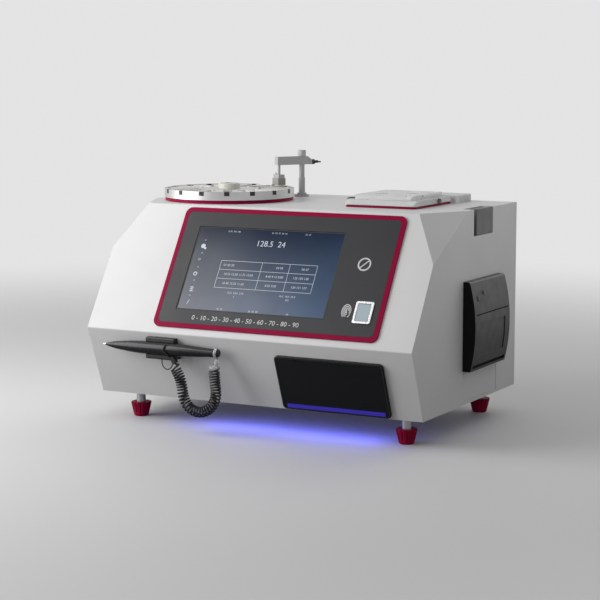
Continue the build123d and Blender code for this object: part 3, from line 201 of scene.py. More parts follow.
def display_with_painted_reflection(name, colours, gloss, glow, low, high):
    """A display behind glass, with painted reflection. Its colours are those of the left and right corners,
    upper then lower; the lighter lower corners, the left one most, paint the window's reflection over the
    picture's own blue.
    """
    finish = Finish(name, colours[0], gloss)
    finish.feed("Specular IOR Level", 0.2)
    wires = {"Vector": finish.place, "From Min": low, "From Max": high}
    share = finish.add("ShaderNodeMapRange", wires, "Vector", data_type="FLOAT_VECTOR")
    across = finish.add("ShaderNodeSeparateXYZ", {"Vector": share}, "X")
    down = finish.add("ShaderNodeSeparateXYZ", {"Vector": share}, "Z")
    cloud = finish.spread(finish.grain(size=0.06, detail=2.0), -0.08, 0.08)
    down = finish.add("ShaderNodeMath", {0: down, 1: cloud}, use_clamp=True)
    left = finish.blend(down, colours[2], colours[0])
    right = finish.blend(down, colours[3], colours[1])
    picture = finish.blend(across, left, right)
    finish.feed("Base Color", picture)
    finish.feed("Emission Color", picture)
    finish.feed("Emission Strength", glow)
    finish.worn(finish.grain(size=0.03), gloss, low=0.8, high=1.25)
    return finish.material


def glowing(name, colour, strength, fade=None):
    """A glowing colour, a little uneven along its length: a lit diffuser, lit screen marks, or a painted
    reflection that is no lamp. It can fade between two places along X.
    """
    finish = Finish(name, colour, roughness=0.4)
    finish.shaded(finish.grain(size=0.02), colour, change=0.1, key="Emission Color")
    finish.feed("Emission Strength", strength)
    if fade:
        across = finish.add("ShaderNodeSeparateXYZ", {"Vector": finish.place}, "X")
        finish.feed("Emission Strength", finish.spread(across, strength / 8, strength, *fade))
    return finish.material


def middle_of(node):
    """The middle of a node's box."""
    low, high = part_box(node)
    return (low + high) / 2


turntable_centre = middle_of("turntable_disc")
glass_low, glass_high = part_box("display_glass")

white_paint = coated("white_powder_coat", (0.78, 0.78, 0.785), 0.46, 0.0009, 0.00003)
crimson = coated("crimson_enamel", (0.31, 0.001, 0.045), 0.46, 0.0012, 0.00001, shine=0.08)
crimson_plastic = moulded("crimson_foot_plastic", (0.38, 0.004, 0.045), 0.5, shine=0.15)
film = coated("overlay_film", (0.022, 0.023, 0.026), 0.42, 0.0005, 0.000015, shine=0.35)
# Screen corner colours: the display's own dark blue, with the lower corners, the left one most, lightened as
# painted reflection of the window
screen_and_reflection_colours = ((0.010, 0.014, 0.028), (0.003, 0.014, 0.038), (0.122, 0.129, 0.150), (0.054, 0.088, 0.154))
screen = display_with_painted_reflection("lit_display", screen_and_reflection_colours, 0.16, 0.45, glass_low, glass_high)
silver = brushed("silver_reader_rim", (0.80, 0.80, 0.82), 0.24, (1, 0.05, 0.05))
reader_glass = coated("pale_reader_glass", (0.50, 0.60, 0.66), 0.14, 0.002, 0.00001, coat=0.5)
disc_steel = lathed("turned_disc_steel", (0.60, 0.60, 0.60), 0.44, turntable_centre)
steel = brushed("ground_steel", (0.60, 0.60, 0.60), 0.34, (0.06, 1, 1))
column_grey = coated("grey_anodised_arm", (0.50, 0.495, 0.50), 0.44, 0.0006, 0.00001)
cream = moulded("cream_nylon", (0.84, 0.83, 0.78), 0.42, 0.0012, 0.00002)
hub_cream = lathed("cream_turned_nylon", (0.74, 0.73, 0.66), 0.38, turntable_centre, metallic=0.0)
black = moulded("black_moulding", (0.016, 0.016, 0.017), 0.42)
latch_grey = moulded("grey_latch_moulding", (0.19, 0.187, 0.19), 0.55)
printer_grey = moulded("printer_moulding", (0.066, 0.064, 0.066), 0.50)
printer_black = moulded("printer_side_moulding", (0.003, 0.003, 0.003), 0.5, shine=0.15)
block_grey = moulded("grey_cast_block", (0.36, 0.36, 0.32), 0.5)
white_plastic = moulded("white_drive_moulding", (0.82, 0.82, 0.81), 0.4)
cast_grey = moulded("cast_motor_grey", (0.86, 0.85, 0.85), 0.55, 0.0009, 0.00008)
cover_plastic = clear("clear_cover", (0.96, 0.965, 0.96), 0.32, clearness=0.42, bending=1.16)
ring_plastic = clear("clear_swivel", (0.95, 0.95, 0.95), 0.10, clearness=0.72, bending=1.4)
paper = moulded("thermal_paper", (0.84, 0.84, 0.82), 0.7, 0.0004, 0.00002)
rubber = moulded("black_rubber", (0.02, 0.02, 0.02), 0.6)
smoked = coated("smoked_front", (0.008, 0.009, 0.010), 0.17, 0.004, 0.00001, shine=0.4)
zinc = brushed("zinc_plate", (0.62, 0.63, 0.65), 0.35, (1, 1, 0.2))
cord_black = moulded("cord_jacket", (0.013, 0.013, 0.014), 0.30, 0.0005, 0.00001)
pen_black = coated("pen_lacquer", (0.014, 0.015, 0.017), 0.26, 0.0008, 0.00001, coat=0.1, shine=0.35)
pen_silver = brushed("pen_nickel", (0.82, 0.82, 0.82), 0.2, (0.1, 1, 1))
brass = brushed("contact_brass", (0.75, 0.60, 0.32), 0.3, (1, 0.1, 1))
board_green = moulded("board_varnish", (0.03, 0.17, 0.07), 0.35)
led_blue = glowing("lit_blue_strip", (0.14, 0.16, 1.0), 8.5, fade=(-0.105, -0.055))
# Painted reflection of the blue lamp glow on the drawer front: it glows though it is no lamp
drawer_blue_reflection = glowing("lit_drawer_edge", (0.026, 0.018, 0.27), 0.7)
mark_white = glowing("screen_marks", (0.50, 0.54, 0.60), 0.22)
print_white = moulded("printed_white", (0.72, 0.72, 0.72), 0.5)


# Pieces

def placed(name, data):
    """A new object in the scene."""
    thing = bpy.data.objects.new(name, data)
    bpy.context.scene.collection.objects.link(thing)
    return thing


def show(name, mesh, body, finish, slot, *replaced):
    """A finished piece that rides on a body and stands for the nodes it replaces."""
    piece = placed(name, mesh)
    mesh.materials.clear()
    mesh.materials.append(finish)
    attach(piece, body)
    if replaced:
        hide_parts(*replaced)
    return piece


def baked(source):
    """The mesh of an object with its modifiers applied. The object itself is removed."""
    bpy.context.view_layer.update()
    graph = bpy.context.evaluated_depsgraph_get()
    seen = source.evaluated_get(graph)
    mesh = bpy.data.meshes.new_from_object(seen, preserve_all_data_layers=True, depsgraph=graph)
    bpy.data.objects.remove(source)
    return mesh


def meshed(shape, name):
    """The mesh of a shape, which is freed."""
    mesh = bpy.data.meshes.new(name)
    shape.to_mesh(mesh)
    shape.free()
    return mesh


def smooth(mesh, degrees=40):
    mesh.polygons.foreach_set("use_smooth", [True] * len(mesh.polygons))
    mesh.set_sharp_from_angle(angle=math.radians(degrees))
    return mesh


def ease(node, width, finish):
    """A node's own shape with its edges eased, standing for the node."""
    shape = bmesh.new()
    shape.from_mesh(nodes[node].data)
    bmesh.ops.remove_doubles(shape, verts=shape.verts, dist=weld)
    bmesh.ops.dissolve_limit(shape, angle_limit=math.radians(0.5), verts=shape.verts, edges=shape.edges)
    mesh = meshed(shape, node)
    mesh.polygons.foreach_set("use_smooth", [True] * len(mesh.polygons))
    blank = placed(node, mesh)
    edges = blank.modifiers.new("edges", "BEVEL")
    edges.width = width
    edges.segments = 2
    edges.limit_method = "ANGLE"
    edges.angle_limit = math.radians(32)
    flats = blank.modifiers.new("flats", "WEIGHTED_NORMAL")
    flats.weight = 100
    return show(node + "_eased", baked(blank), body_of[node], finish, slot_of[node], node)


def turned(name, profile, place):
    """A closed form turned about Z from radii and heights, then put in its place."""
    steps = 48
    shape = bmesh.new()
    points = [shape.verts.new((radius, 0, height)) for radius, height in profile]
    lines = [shape.edges.new(pair) for pair in zip(points, points[1:])]
    bmesh.ops.spin(shape, geom=points + lines, cent=origin, axis=up_z, angle=full_turn, steps=steps)
    bmesh.ops.remove_doubles(shape, verts=shape.verts, dist=weld)
    bmesh.ops.recalc_face_normals(shape, faces=shape.faces)
    mesh = meshed(shape, name)
    mesh.transform(place)
    return smooth(mesh, degrees=35)


def along(direction, start):
    """A place whose Z runs along a direction."""
    return Matrix.Translation(start) @ direction.to_track_quat("Z", "X").to_matrix().to_4x4()


def tube(name, points, radius, sides=10, closed=False):
    """A round tube through points, its rings kept from twisting."""
    shape = bmesh.new()
    count = len(points)
    rings = []
    side = None
    for i, point in enumerate(points):
        before = points[(i - 1) % count] if closed else points[max(i - 1, 0)]
        after = points[(i + 1) % count] if closed else points[min(i + 1, count - 1)]
        forward = (after - before).normalized()
        side = forward.orthogonal() if side is None else side - forward * side.dot(forward)
        side.normalize()
        other = forward.cross(side)
        ring = []
        for k in range(sides):
            turn = full_turn * k / sides
            ring.append(shape.verts.new(point + (side * math.cos(turn) + other * math.sin(turn)) * radius))
        rings.append(ring)
    for low, high in zip(rings, (rings[1:] + rings[:1]) if closed else rings[1:]):
        for k in range(sides):
            shape.faces.new((low[k], low[(k + 1) % sides], high[(k + 1) % sides], high[k]))
    if not closed:
        shape.faces.new(rings[0][::-1])
        shape.faces.new(rings[-1])
    bmesh.ops.recalc_face_normals(shape, faces=shape.faces)
    return smooth(meshed(shape, name), degrees=60)


def flat_face(node, towards):
    """The turn and the middle of a node's largest flat face: X to the right, Y up it and Z out of it."""
    facing = 0.5
    parallel = 0.9999
    mesh = nodes[node].data
    sides = [p for p in mesh.polygons if p.normal.dot(towards) > facing]
    out = max(sides, key=lambda p: p.area).normal.copy()
    corners = [mesh.vertices[v].co for p in sides if p.normal.dot(out) > parallel for v in p.vertices]
    level = max(c.dot(out) for c in corners)
    corners = [c for c in corners if c.dot(out) > level - weld * 10]
    right = up_z.cross(out).normalized()
    upward = out.cross(right)
    middle = out * level
    for way in (right, upward):
        reach = [c.dot(way) for c in corners]
        middle += way * (min(reach) + max(reach)) / 2
    return Matrix((right, upward, out)).transposed().to_4x4(), middle


def face_size(node, turn, middle):
    """A node's width and height, seen square to its flat face."""
    corners = [turn.to_3x3().transposed() @ (v.co - middle) for v in nodes[node].data.vertices]
    return 2 * max(c.x for c in corners), 2 * max(c.y for c in corners)


class Ink:
    """Thin marks on a flat face, gathered in one mesh. Places are measured from the face's middle."""

    # Height of a figure as a share of its type size
    figure_share = 0.7

    def __init__(self, turn, middle, thickness):
        self.place = Matrix.Translation(middle) @ turn
        self.thickness = thickness
        self.shape = bmesh.new()

    def edge(self, outline):
        """An outline's points on the face and above it."""
        return [[self.shape.verts.new((x, y, z)) for x, y in outline] for z in (0, self.thickness)]

    def area(self, outline, hole=None):
        """A flat mark within an outline, round a hole where there is one."""
        outer = self.edge(outline)
        count = len(outline)
        walls = [(outer, 1)]
        if hole:
            inner = self.edge(hole)
            for i in range(count):
                j = (i + 1) % count
                self.shape.faces.new((outer[1][i], outer[1][j], inner[1][j], inner[1][i]))
                self.shape.faces.new((outer[0][j], outer[0][i], inner[0][i], inner[0][j]))
            walls.append((inner, -1))
        else:
            self.shape.faces.new(outer[0][::-1])
            self.shape.faces.new(outer[1])
        for (low, high), way in walls:
            for i in range(count):
                j = (i + way) % count
                self.shape.faces.new((low[i], low[j], high[j], high[i]))

    def bar(self, x, y, width, height):
        """A rectangle, centred on a point."""
        left, right = x - width / 2, x + width / 2
        low, high = y - height / 2, y + height / 2
        self.area([(left, low), (right, low), (right, high), (left, high)])

    def line(self, x0, y0, x1, y1, width):
        """A bar between two points."""
        way = Vector((x1 - x0, y1 - y0)).normalized() * width / 2
        off = Vector((-way.y, way.x))
        a, b = Vector((x0, y0)) - way, Vector((x1, y1)) + way
        self.area([a - off, b - off, b + off, a + off])

    def ring(self, x, y, radius, width, squeeze=1.0, start=0.0, sweep=full_turn, steps=40):
        """A round or oval line, whole or in part."""
        turns = [start + sweep * i / steps for i in range(steps + (sweep < full_turn))]
        outer = [(x + math.cos(t) * radius * squeeze, y + math.sin(t) * radius) for t in turns]
        within = radius - width
        inner = [(x + math.cos(t) * within * squeeze, y + math.sin(t) * within) for t in turns]
        if sweep < full_turn:
            self.area(outer + inner[::-1])
        else:
            self.area(outer, inner)

    def disc(self, x, y, radius, steps=32):
        turns = [full_turn * i / steps for i in range(steps)]
        self.area([(x + math.cos(t) * radius, y + math.sin(t) * radius) for t in turns])

    def number(self, figures, x, y, height):
        """Plain figures, centred on a point."""
        text = bpy.data.curves.new("figures", "FONT")
        text.body = figures
        text.size = height / self.figure_share
        text.extrude = self.thickness / 2
        text.resolution_u = 3
        text.align_x = "CENTER"
        text.align_y = "CENTER"
        mesh = baked(placed("figures", text))
        mesh.transform(Matrix.Translation((x, y, self.thickness / 2)))
        self.shape.from_mesh(mesh)

    def lay(self, name, body, finish, slot):
        """The marks as a finished piece on their face."""
        bmesh.ops.remove_doubles(self.shape, verts=self.shape.verts, dist=weld)
        bmesh.ops.recalc_face_normals(self.shape, faces=self.shape.faces)
        mesh = meshed(self.shape, name)
        mesh.transform(self.place)
        show(name, mesh, body, finish, slot)


def rounded(width, height, corner, steps=6):
    """A rectangle's outline with round corners."""
    points = []
    for number, (sx, sy) in enumerate(((1, 1), (-1, 1), (-1, -1), (1, -1))):
        for i in range(steps + 1):
            turn = math.pi / 2 * (number + i / steps)
            points.append((sx * (width / 2 - corner) + math.cos(turn) * corner,
                           sy * (height / 2 - corner) + math.sin(turn) * corner))
    return points


# Geometry Nodes trees

class Tree(Nodes):
    """A Geometry Nodes tree under construction, with named inputs for its sizes."""

    kinds = {int: "NodeSocketInt", float: "NodeSocketFloat", tuple: "NodeSocketVector"}

    def __init__(self, name, **sizes):
        super().__init__(bpy.data.node_groups.new(name, "GeometryNodeTree"))
        self.sockets = {}
        face = self.graph.interface
        face.new_socket("Geometry", in_out="INPUT", socket_type="NodeSocketGeometry")
        face.new_socket("Geometry", in_out="OUTPUT", socket_type="NodeSocketGeometry")
        for key, value in sizes.items():
            socket = face.new_socket(key, in_out="INPUT", socket_type=self.kinds[type(value)])
            socket.default_value = value
            self.sockets[key] = socket.identifier
        self.given = self.graph.nodes.new("NodeGroupInput").outputs

    def calc(self, operation, first, second=0.0):
        return self.add("ShaderNodeMath", {0: first, 1: second}, operation=operation)

    def times(self, first, second):
        return self.calc("MULTIPLY", first, second)

    def vector(self, **parts):
        return self.add("ShaderNodeCombineXYZ", parts)

    def ramp(self, value, start, end, height=1.0, shape="SMOOTHSTEP"):
        """A rise from nothing to a height, between two values."""
        wires = {"Value": value, "From Min": start, "From Max": end, "To Max": height}
        return self.add("ShaderNodeMapRange", wires, interpolation_type=shape)

    def cylinder(self, vertices, radius, depth, **wires):
        wires.update({"Vertices": vertices, "Radius": radius, "Depth": depth})
        return self.add("GeometryNodeMeshCylinder", wires)

    def moved(self, geometry, **shift):
        return self.add("GeometryNodeTransform", {"Geometry": geometry, "Translation": self.vector(**shift)})

    def on_points(self, points, piece, **wires):
        return self.add("GeometryNodeInstanceOnPoints", {"Points": points, "Instance": piece, **wires})

    def round_z(self, piece, count, start, share=0.0):
        """Copies of a piece round Z. The first is turned by the start and by a share of a step."""
        places = self.add("GeometryNodePoints", {"Count": count})
        number = self.calc("ADD", self.add("GeometryNodeInputIndex", {}), share)
        turn = self.calc("ADD", self.times(number, self.calc("DIVIDE", full_turn, count)), start)
        return self.on_points(places, piece, Rotation=self.vector(Z=turn))

    def waves(self, count):
        """Waves round Z, with the height of each place and the way outward from Z."""
        place = self.add("GeometryNodeInputPosition", {})
        x, y, z = (self.add("ShaderNodeSeparateXYZ", {"Vector": place}, way) for way in "XYZ")
        wave = self.calc("COSINE", self.times(self.calc("ARCTAN2", y, x), count))
        outward = self.add("ShaderNodeVectorMath", {0: self.vector(X=x, Y=y)}, operation="NORMALIZE")
        return wave, z, outward

    def pushed(self, geometry, way, distance):
        """Geometry whose points move along a way of their own."""
        shift = self.add("ShaderNodeVectorMath", {0: way, "Scale": distance}, operation="SCALE")
        return self.add("GeometryNodeSetPosition", {"Geometry": geometry, "Offset": shift})

    def end(self, geometry, finish):
        """Real geometry with its material, which is what the tree gives."""
        real = self.add("GeometryNodeRealizeInstances", {"Geometry": geometry})
        set_finish = self.add("GeometryNodeSetMaterial", {"Geometry": real, "Material": finish})
        self.wire(self.graph.nodes.new("NodeGroupOutput").inputs["Geometry"], set_finish)
        return self


def grow(name, tree, points, place, **sizes):
    """The plain mesh that a tree makes on points, put in its place."""
    base = bpy.data.meshes.new(name)
    base.from_pydata([tuple(p) for p in points], [], [])
    blank = placed(name, base)
    modifier = blank.modifiers.new("growth", "NODES")
    modifier.node_group = tree.graph
    for key, value in sizes.items():
        modifier[tree.sockets[key]] = value
    mesh = baked(blank)
    mesh.transform(place)
    return smooth(mesh)


def screw_tree(finish):
    """Socket screws on points, their heads towards Z."""
    tree = Tree("socket_screws", head=0.0036, height=0.0022, shank=0.0019, length=0.009, key=0.0019,
                depth=0.0013)
    given = tree.given
    head = tree.cylinder(28, given["head"], given["height"])
    head = tree.moved(head, Z=tree.times(given["height"], 0.5))
    key = tree.moved(tree.cylinder(6, given["key"], given["depth"]), Z=given["height"])
    cut = tree.add("GeometryNodeMeshBoolean", {"Mesh 1": head, "Mesh 2": key}, operation="DIFFERENCE")
    shank = tree.cylinder(16, given["shank"], given["length"])
    shank = tree.moved(shank, Z=tree.times(given["length"], -0.5))
    screw = tree.add("GeometryNodeJoinGeometry", {"Geometry": [cut, shank]})
    return tree.end(tree.on_points(given["Geometry"], screw), finish)


def foot_tree(finish):
    """Tapered feet on points, their sides hollowed by upright flutes."""
    tree = Tree("fluted_feet", top=0.01175, base=0.0079, height=0.016, flutes=12, hollow=0.0011)
    given = tree.given
    wires = {"Vertices": 144, "Side Segments": 18, "Fill Segments": 1, "Radius Top": given["top"],
             "Radius Bottom": given["base"], "Depth": given["height"]}
    cone = tree.add("GeometryNodeMeshCone", wires)
    wave, z, outward = tree.waves(given["flutes"])
    rise = tree.calc("DIVIDE", z, given["height"])
    flutes = tree.times(tree.calc("MAXIMUM", wave, 0.0), tree.ramp(rise, start=0.12, end=0.35))
    from_middle = tree.calc("ABSOLUTE", tree.calc("SUBTRACT", rise, 0.5))
    round_ends = tree.ramp(from_middle, start=0.44, end=0.5, height=0.0009)
    depth = tree.calc("ADD", tree.times(flutes, given["hollow"]), round_ends)
    fluted = tree.pushed(cone, outward, tree.times(depth, -1.0))
    return tree.end(tree.on_points(given["Geometry"], fluted), finish)


def wedge_tree(finish):
    """Wedges in a ring, with channels of one width between them."""
    tree = Tree("station_wedges", count=16, inner=0.037, outer=0.069, channel=0.010, height=0.006,
                corner=0.0012, start=0.0)
    given = tree.given
    sine = tree.calc("SINE", tree.calc("DIVIDE", math.pi, given["count"]))
    gap = tree.times(given["channel"], 0.5)
    inner, outer = (tree.calc("SUBTRACT", tree.times(given[r], sine), gap) for r in ("inner", "outer"))
    corners = (("inner", inner, -1.0), ("outer", outer, -1.0), ("outer", outer, 1.0), ("inner", inner, 1.0))
    wires = {}
    for number, (radius, half_width, side) in enumerate(corners, 1):
        wires[f"Point {number}"] = tree.vector(X=given[radius], Y=tree.times(half_width, side))
    outline = tree.add("GeometryNodeCurvePrimitiveQuadrilateral", wires, mode="POINTS")
    wires = {"Curve": outline, "Radius": given["corner"], "Count": 4}
    outline = tree.add("GeometryNodeFilletCurve", wires, mode="POLY")
    face = tree.add("GeometryNodeFillCurve", {"Curve": outline}, mode="NGONS")
    body = tree.add("GeometryNodeExtrudeMesh", {"Mesh": face, "Offset": tree.vector(Z=given["height"])})
    under = tree.add("GeometryNodeFlipFaces", {"Mesh": face})
    wedge = tree.add("GeometryNodeJoinGeometry", {"Geometry": [body, under]})
    wedge = tree.add("GeometryNodeMergeByDistance", {"Geometry": wedge, "Distance": weld})
    return tree.end(tree.round_z(wedge, given["count"], given["start"], share=0.5), finish)


def ring_tree(finish):
    """Small blocks in a ring round Z."""
    tree = Tree("ring_of_pads", count=16, radius=0.07, size=(0.001, 0.001, 0.001), start=0.0)
    given = tree.given
    block = tree.add("GeometryNodeMeshCube", {"Size": given["size"]})
    block = tree.moved(block, X=given["radius"])
    return tree.end(tree.round_z(block, given["count"], given["start"]), finish)


def row_tree(finish):
    """Small blocks in a row along X, on each point."""
    tree = Tree("row_of_blocks", count=8, pitch=0.001, size=(0.0005, 0.0005, 0.0005))
    given = tree.given
    block = tree.add("GeometryNodeMeshCube", {"Size": given["size"]})
    span = tree.times(given["pitch"], tree.calc("SUBTRACT", given["count"], 1.0))
    wires = {"Count": given["count"], "Start Location": tree.vector(X=tree.times(span, -0.5)),
             "Offset": tree.vector(X=given["pitch"])}
    row = tree.on_points(tree.add("GeometryNodeMeshLine", wires), block)
    return tree.end(tree.on_points(given["Geometry"], row), finish)


def knurl_tree(finish):
    """A knob along Z with upright ridges round its side."""
    tree = Tree("ridged_knob", radius=0.0026, height=0.0032, ridges=18, depth=0.0002)
    given = tree.given
    knob = tree.cylinder(108, given["radius"], given["height"], **{"Side Segments": 8, "Fill Segments": 2})
    wave, z, outward = tree.waves(given["ridges"])
    from_middle = tree.calc("ABSOLUTE", tree.calc("DIVIDE", z, given["height"]))
    ridges = tree.times(tree.times(wave, tree.ramp(from_middle, start=0.5, end=0.38)), given["depth"])
    round_ends = tree.ramp(from_middle, start=0.42, end=0.5, height=0.0004, shape="LINEAR")
    return tree.end(tree.pushed(knob, outward, tree.calc("SUBTRACT", ridges, round_ends)), finish)


# Housing and the other pieces with eased edges

for node, width, finish in (
        ("housing_shell", 0.0009, white_paint), ("rear_panel", 0.0005, white_paint),
        ("service_hatch", 0.0006, white_paint), ("side_latch", 0.0007, latch_grey),
        ("panel_bezel", 0.0006, crimson), ("panel_overlay", 0.0003, film), ("display_glass", 0.0003, screen),
        ("fingerprint_frame", 0.0004, silver), ("fingerprint_sensor", 0.0003, reader_glass),
        ("turntable_base", 0.0005, crimson), ("turntable_disc", 0.0004, disc_steel),
        ("turntable_hub", 0.0003, hub_cream), ("column_flange", 0.0004, column_grey),
        ("arm_column", 0.0004, column_grey), ("swing_arm", 0.0005, column_grey),
        ("arm_cap", 0.0003, column_grey), ("probe_head", 0.0004, column_grey),
        ("probe_block", 0.0005, block_grey), ("station_plate", 0.0004, crimson),
        ("station_deck", 0.0003, black), ("fixed_jaw", 0.0004, steel), ("load_cell", 0.0004, steel),
        ("moving_jaw", 0.0004, steel), ("jaw_motor", 0.0005, white_plastic),
        ("motor_cooler", 0.0003, cast_grey), ("station_cover", 0.0005, cover_plastic),
        ("printer_frame", 0.0007, printer_grey), ("printer_door", 0.0006, printer_grey),
        ("feed_button", 0.0004, latch_grey), ("power_button", 0.0004, latch_grey),
        ("drawer_front", 0.0008, smoked), ("pen_holder", 0.0006, black), ("power_inlet", 0.0004, black),
        ("rocker_switch", 0.0004, black), ("port_block", 0.0003, zinc)):
    ease(node, width, finish)

# The printer's flanks and recesses are blacker than its front
front_share, flank_share = 0.25, 0.5
for piece_name in ("printer_frame_eased", "printer_door_eased"):
    moulding = bpy.data.objects[piece_name].data
    moulding.materials.append(printer_black)
    for side in moulding.polygons:
        side.material_index = int(side.normal.x < front_share and abs(side.normal.y) > flank_share)


# Pieces that keep their own edges

for node, finish in (
        ("base_plate", white_paint), ("latch_pocket", printer_black), ("foot_studs", zinc),
        ("display_module", black), ("turntable_shaft", steel), ("turntable_bearing", steel),
        ("turntable_motor", black), ("clamp_knob", black), ("probe_rod", column_grey), ("lead_screw", steel),
        ("paper_roll", paper),
        ("platen_roller", rubber), ("drawer_tray", black), ("drawer_rails", zinc), ("led_strip", led_blue),
        ("main_board", board_green), ("power_supply", zinc)):
    nodes[node].data.materials.clear()
    nodes[node].data.materials.append(finish)


# Feet and case screws

foot_low, foot_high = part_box("foot_pads")
foot_radius = 0.01175
foot_points = [(x, y, 0) for x in (foot_low.x + foot_radius, foot_high.x - foot_radius)
               for y in (foot_low.y + foot_radius, foot_high.y - foot_radius)]
feet = grow("fluted_feet", foot_tree(crimson_plastic), foot_points, Matrix(), top=foot_radius,
            height=foot_high.z)
show("fluted_feet", feet, "base", crimson_plastic, slot_of["foot_pads"], "foot_pads")

screw_low, screw_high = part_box("case_screws")
rear_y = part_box("rear_panel")[1].y
head_radius = 0.0036
upper_row = 0.196
top_row = screw_high.z - head_radius
top_spread = 0.096
screw_x = (screw_low.x + head_radius, screw_high.x - head_radius)
screw_places = [(x, z) for x in screw_x for z in (screw_low.z + head_radius, upper_row)]
screw_places += [(sum(screw_x) / 2 + side * top_spread, top_row) for side in (-1, 1)]
facing_rear = Matrix.Translation((0, rear_y, 0)) @ Matrix.Rotation(math.radians(-90), 4, "X")
screws = grow("case_screw_heads", screw_tree(zinc), [(x, -z, 0) for x, z in screw_places], facing_rear,
              head=head_radius, height=screw_high.y - rear_y)
show("case_screw_heads", screws, "base", zinc, slot_of["case_screws"], "case_screws")


# What the turntable carries: wedges between its stations, black blocks in its rim's notches as painted shade,
# and the plug in its hub

def on_wheel(height):
    """A place on the turntable's axis."""
    return Matrix.Translation((turntable_centre.x, turntable_centre.y, height))


wedge_low, wedge_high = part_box("station_blocks")
station_start = math.radians(5.47)
wedges = grow("magazine_wedges", wedge_tree(cream), [origin], on_wheel(wedge_low.z),
              height=wedge_high.z - wedge_low.z, start=station_start)
show("magazine_wedges", wedges, "turntable", cream, slot_of["station_blocks"], "station_blocks")

disc_low, disc_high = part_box("turntable_disc")
# Black blocks sunk in the rim's notches between the wedges: painted shade, standing for the shadow inside the
# notches
shade_block_size = (0.0036, 0.0059, 0.0044)
shade_block_inset = 0.0022
shade_block_drop = 0.0023
notch_shade_blocks = grow("rim_pads", ring_tree(black), [origin], on_wheel(disc_high.z - shade_block_drop),
            radius=(disc_high.x - disc_low.x) / 2 - shade_block_inset, size=shade_block_size, start=station_start)
show("rim_pads", notch_shade_blocks, "turntable", black, "black_plastic")

plug_drop = 0.0015
plug = [(0, 0), (0.0056, 0), (0.0058, 0.0004), (0.0030, 0.0007), (0, 0.0007)]
plug_mesh = turned("hub_plug", plug, on_wheel(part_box("turntable_hub")[1].z - plug_drop))
show("hub_plug", plug_mesh, "turntable", latch_grey, "black_plastic")


# Knob of the clear cover

knob_low, knob_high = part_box("cover_knob")
knob = grow("cover_knob_ridged", knurl_tree(latch_grey), [origin], along(along_x, middle_of("cover_knob")),
            height=knob_high.x - knob_low.x)
show("cover_knob_ridged", knob, "cover", latch_grey, slot_of["cover_knob"], "cover_knob")


# Marks on the control panel

slope_outward = Vector((0, -1, 1))
screen_turn, screen_middle = flat_face("display_glass", slope_outward)
film_turn, film_middle = flat_face("panel_overlay", slope_outward)
outward = screen_turn.col[2].to_3d()
film_level = screen_middle + outward * (film_middle - screen_middle).dot(outward)

picture = Ink(screen_turn, screen_middle, thickness=0.00004)
hair = 0.00045
cell_figures = 0.0026

# The table in the middle of the screen
columns = (-0.0505, 0.0, 0.0335, 0.066)
rows = (0.0103, -0.0002, -0.0108, -0.0217)
for x in columns:
    picture.line(x, rows[0], x, rows[-1], hair)
for y in rows:
    picture.line(columns[0], y, columns[-1], y, hair)
table = (
    (("01 02 03", -0.0400), ("04 05", 0.0220), ("06 07", 0.0525)),
    (("10.25 12.50 11.75 10.90", -0.0255), ("8.40 9.15 8.80", 0.0185), ("125 130 128", 0.0500)),
    (("10.40 12.35 11.60", -0.0290), ("8.55 9.05", 0.0170), ("124 131 127", 0.0505)),
)
for row, cells in enumerate(table):
    for figures, x in cells:
        picture.number(figures, x, (rows[row] + rows[row + 1]) / 2, cell_figures)

# Figures above and below the table
for figures, x, y, height in (
        ("128.5  24", 0.0035, 0.0322, 0.0066), ("12:30  24.5  08", -0.0455, 0.0452, 0.0018),
        ("01  02  03  04  05", 0.0105, 0.0456, 0.0018), ("06  07", 0.0450, 0.0456, 0.0018),
        ("0.25  0.50  0.75", -0.0225, -0.0272, 0.0022), ("1", -0.0235, -0.0314, 0.0022),
        ("16.0  18.0  20.0", 0.0397, -0.0271, 0.0022), ("100", 0.0404, -0.0312, 0.0022),
        ("10  20", -0.0365, -0.0466, 0.0020), ("30  40  50", 0.0043, -0.0469, 0.0020),
        ("60", 0.0455, -0.0471, 0.0020)):
    picture.number(figures, x, y, height)

# Signs down the left edge of the screen
icon_x = -0.0785
sign_x = icon_x + 0.0010
list_y = (-0.0232, -0.0254, -0.0276)
icon_figures = 0.0014
picture.disc(icon_x, 0.0262, 0.0027)
picture.disc(icon_x + 0.0031, 0.0237, 0.0014)
picture.ring(icon_x, 0.0102, 0.0013, 0.0004)
picture.ring(icon_x, -0.0071, 0.0024, 0.0010)
for y in list_y:
    picture.bar(sign_x, y, 0.0042, 0.0009)
picture.bar(sign_x, list_y[1], 0.0008, 0.0066)
picture.line(icon_x + 0.0004, -0.0432, icon_x + 0.0022, -0.0384, 0.0007)
for figures, y in (("01", 0.0334), ("02", 0.0178), ("03", 0.0010), ("04", -0.0150), ("05", -0.0330)):
    picture.number(figures, sign_x, y, icon_figures)
picture.lay("screen_picture", "base", mark_white, "screen")

glass_width, glass_height = face_size("display_glass", screen_turn, screen_middle)
# A thin black ring round the screen's glass: painted shade where the film's cut edge shades the recessed
# screen
edge_shade_sides, edge_shade_ends = 0.0012, 0.0010
screen_edge_shade = Ink(screen_turn, screen_middle, thickness=0.00020)
screen_edge_shade.area(rounded(glass_width, glass_height, 0.0010),
            rounded(glass_width - edge_shade_sides * 2, glass_height - edge_shade_ends * 2, 0.0004))
screen_edge_shade.lay("screen_gasket", "base", rubber, "rubber")

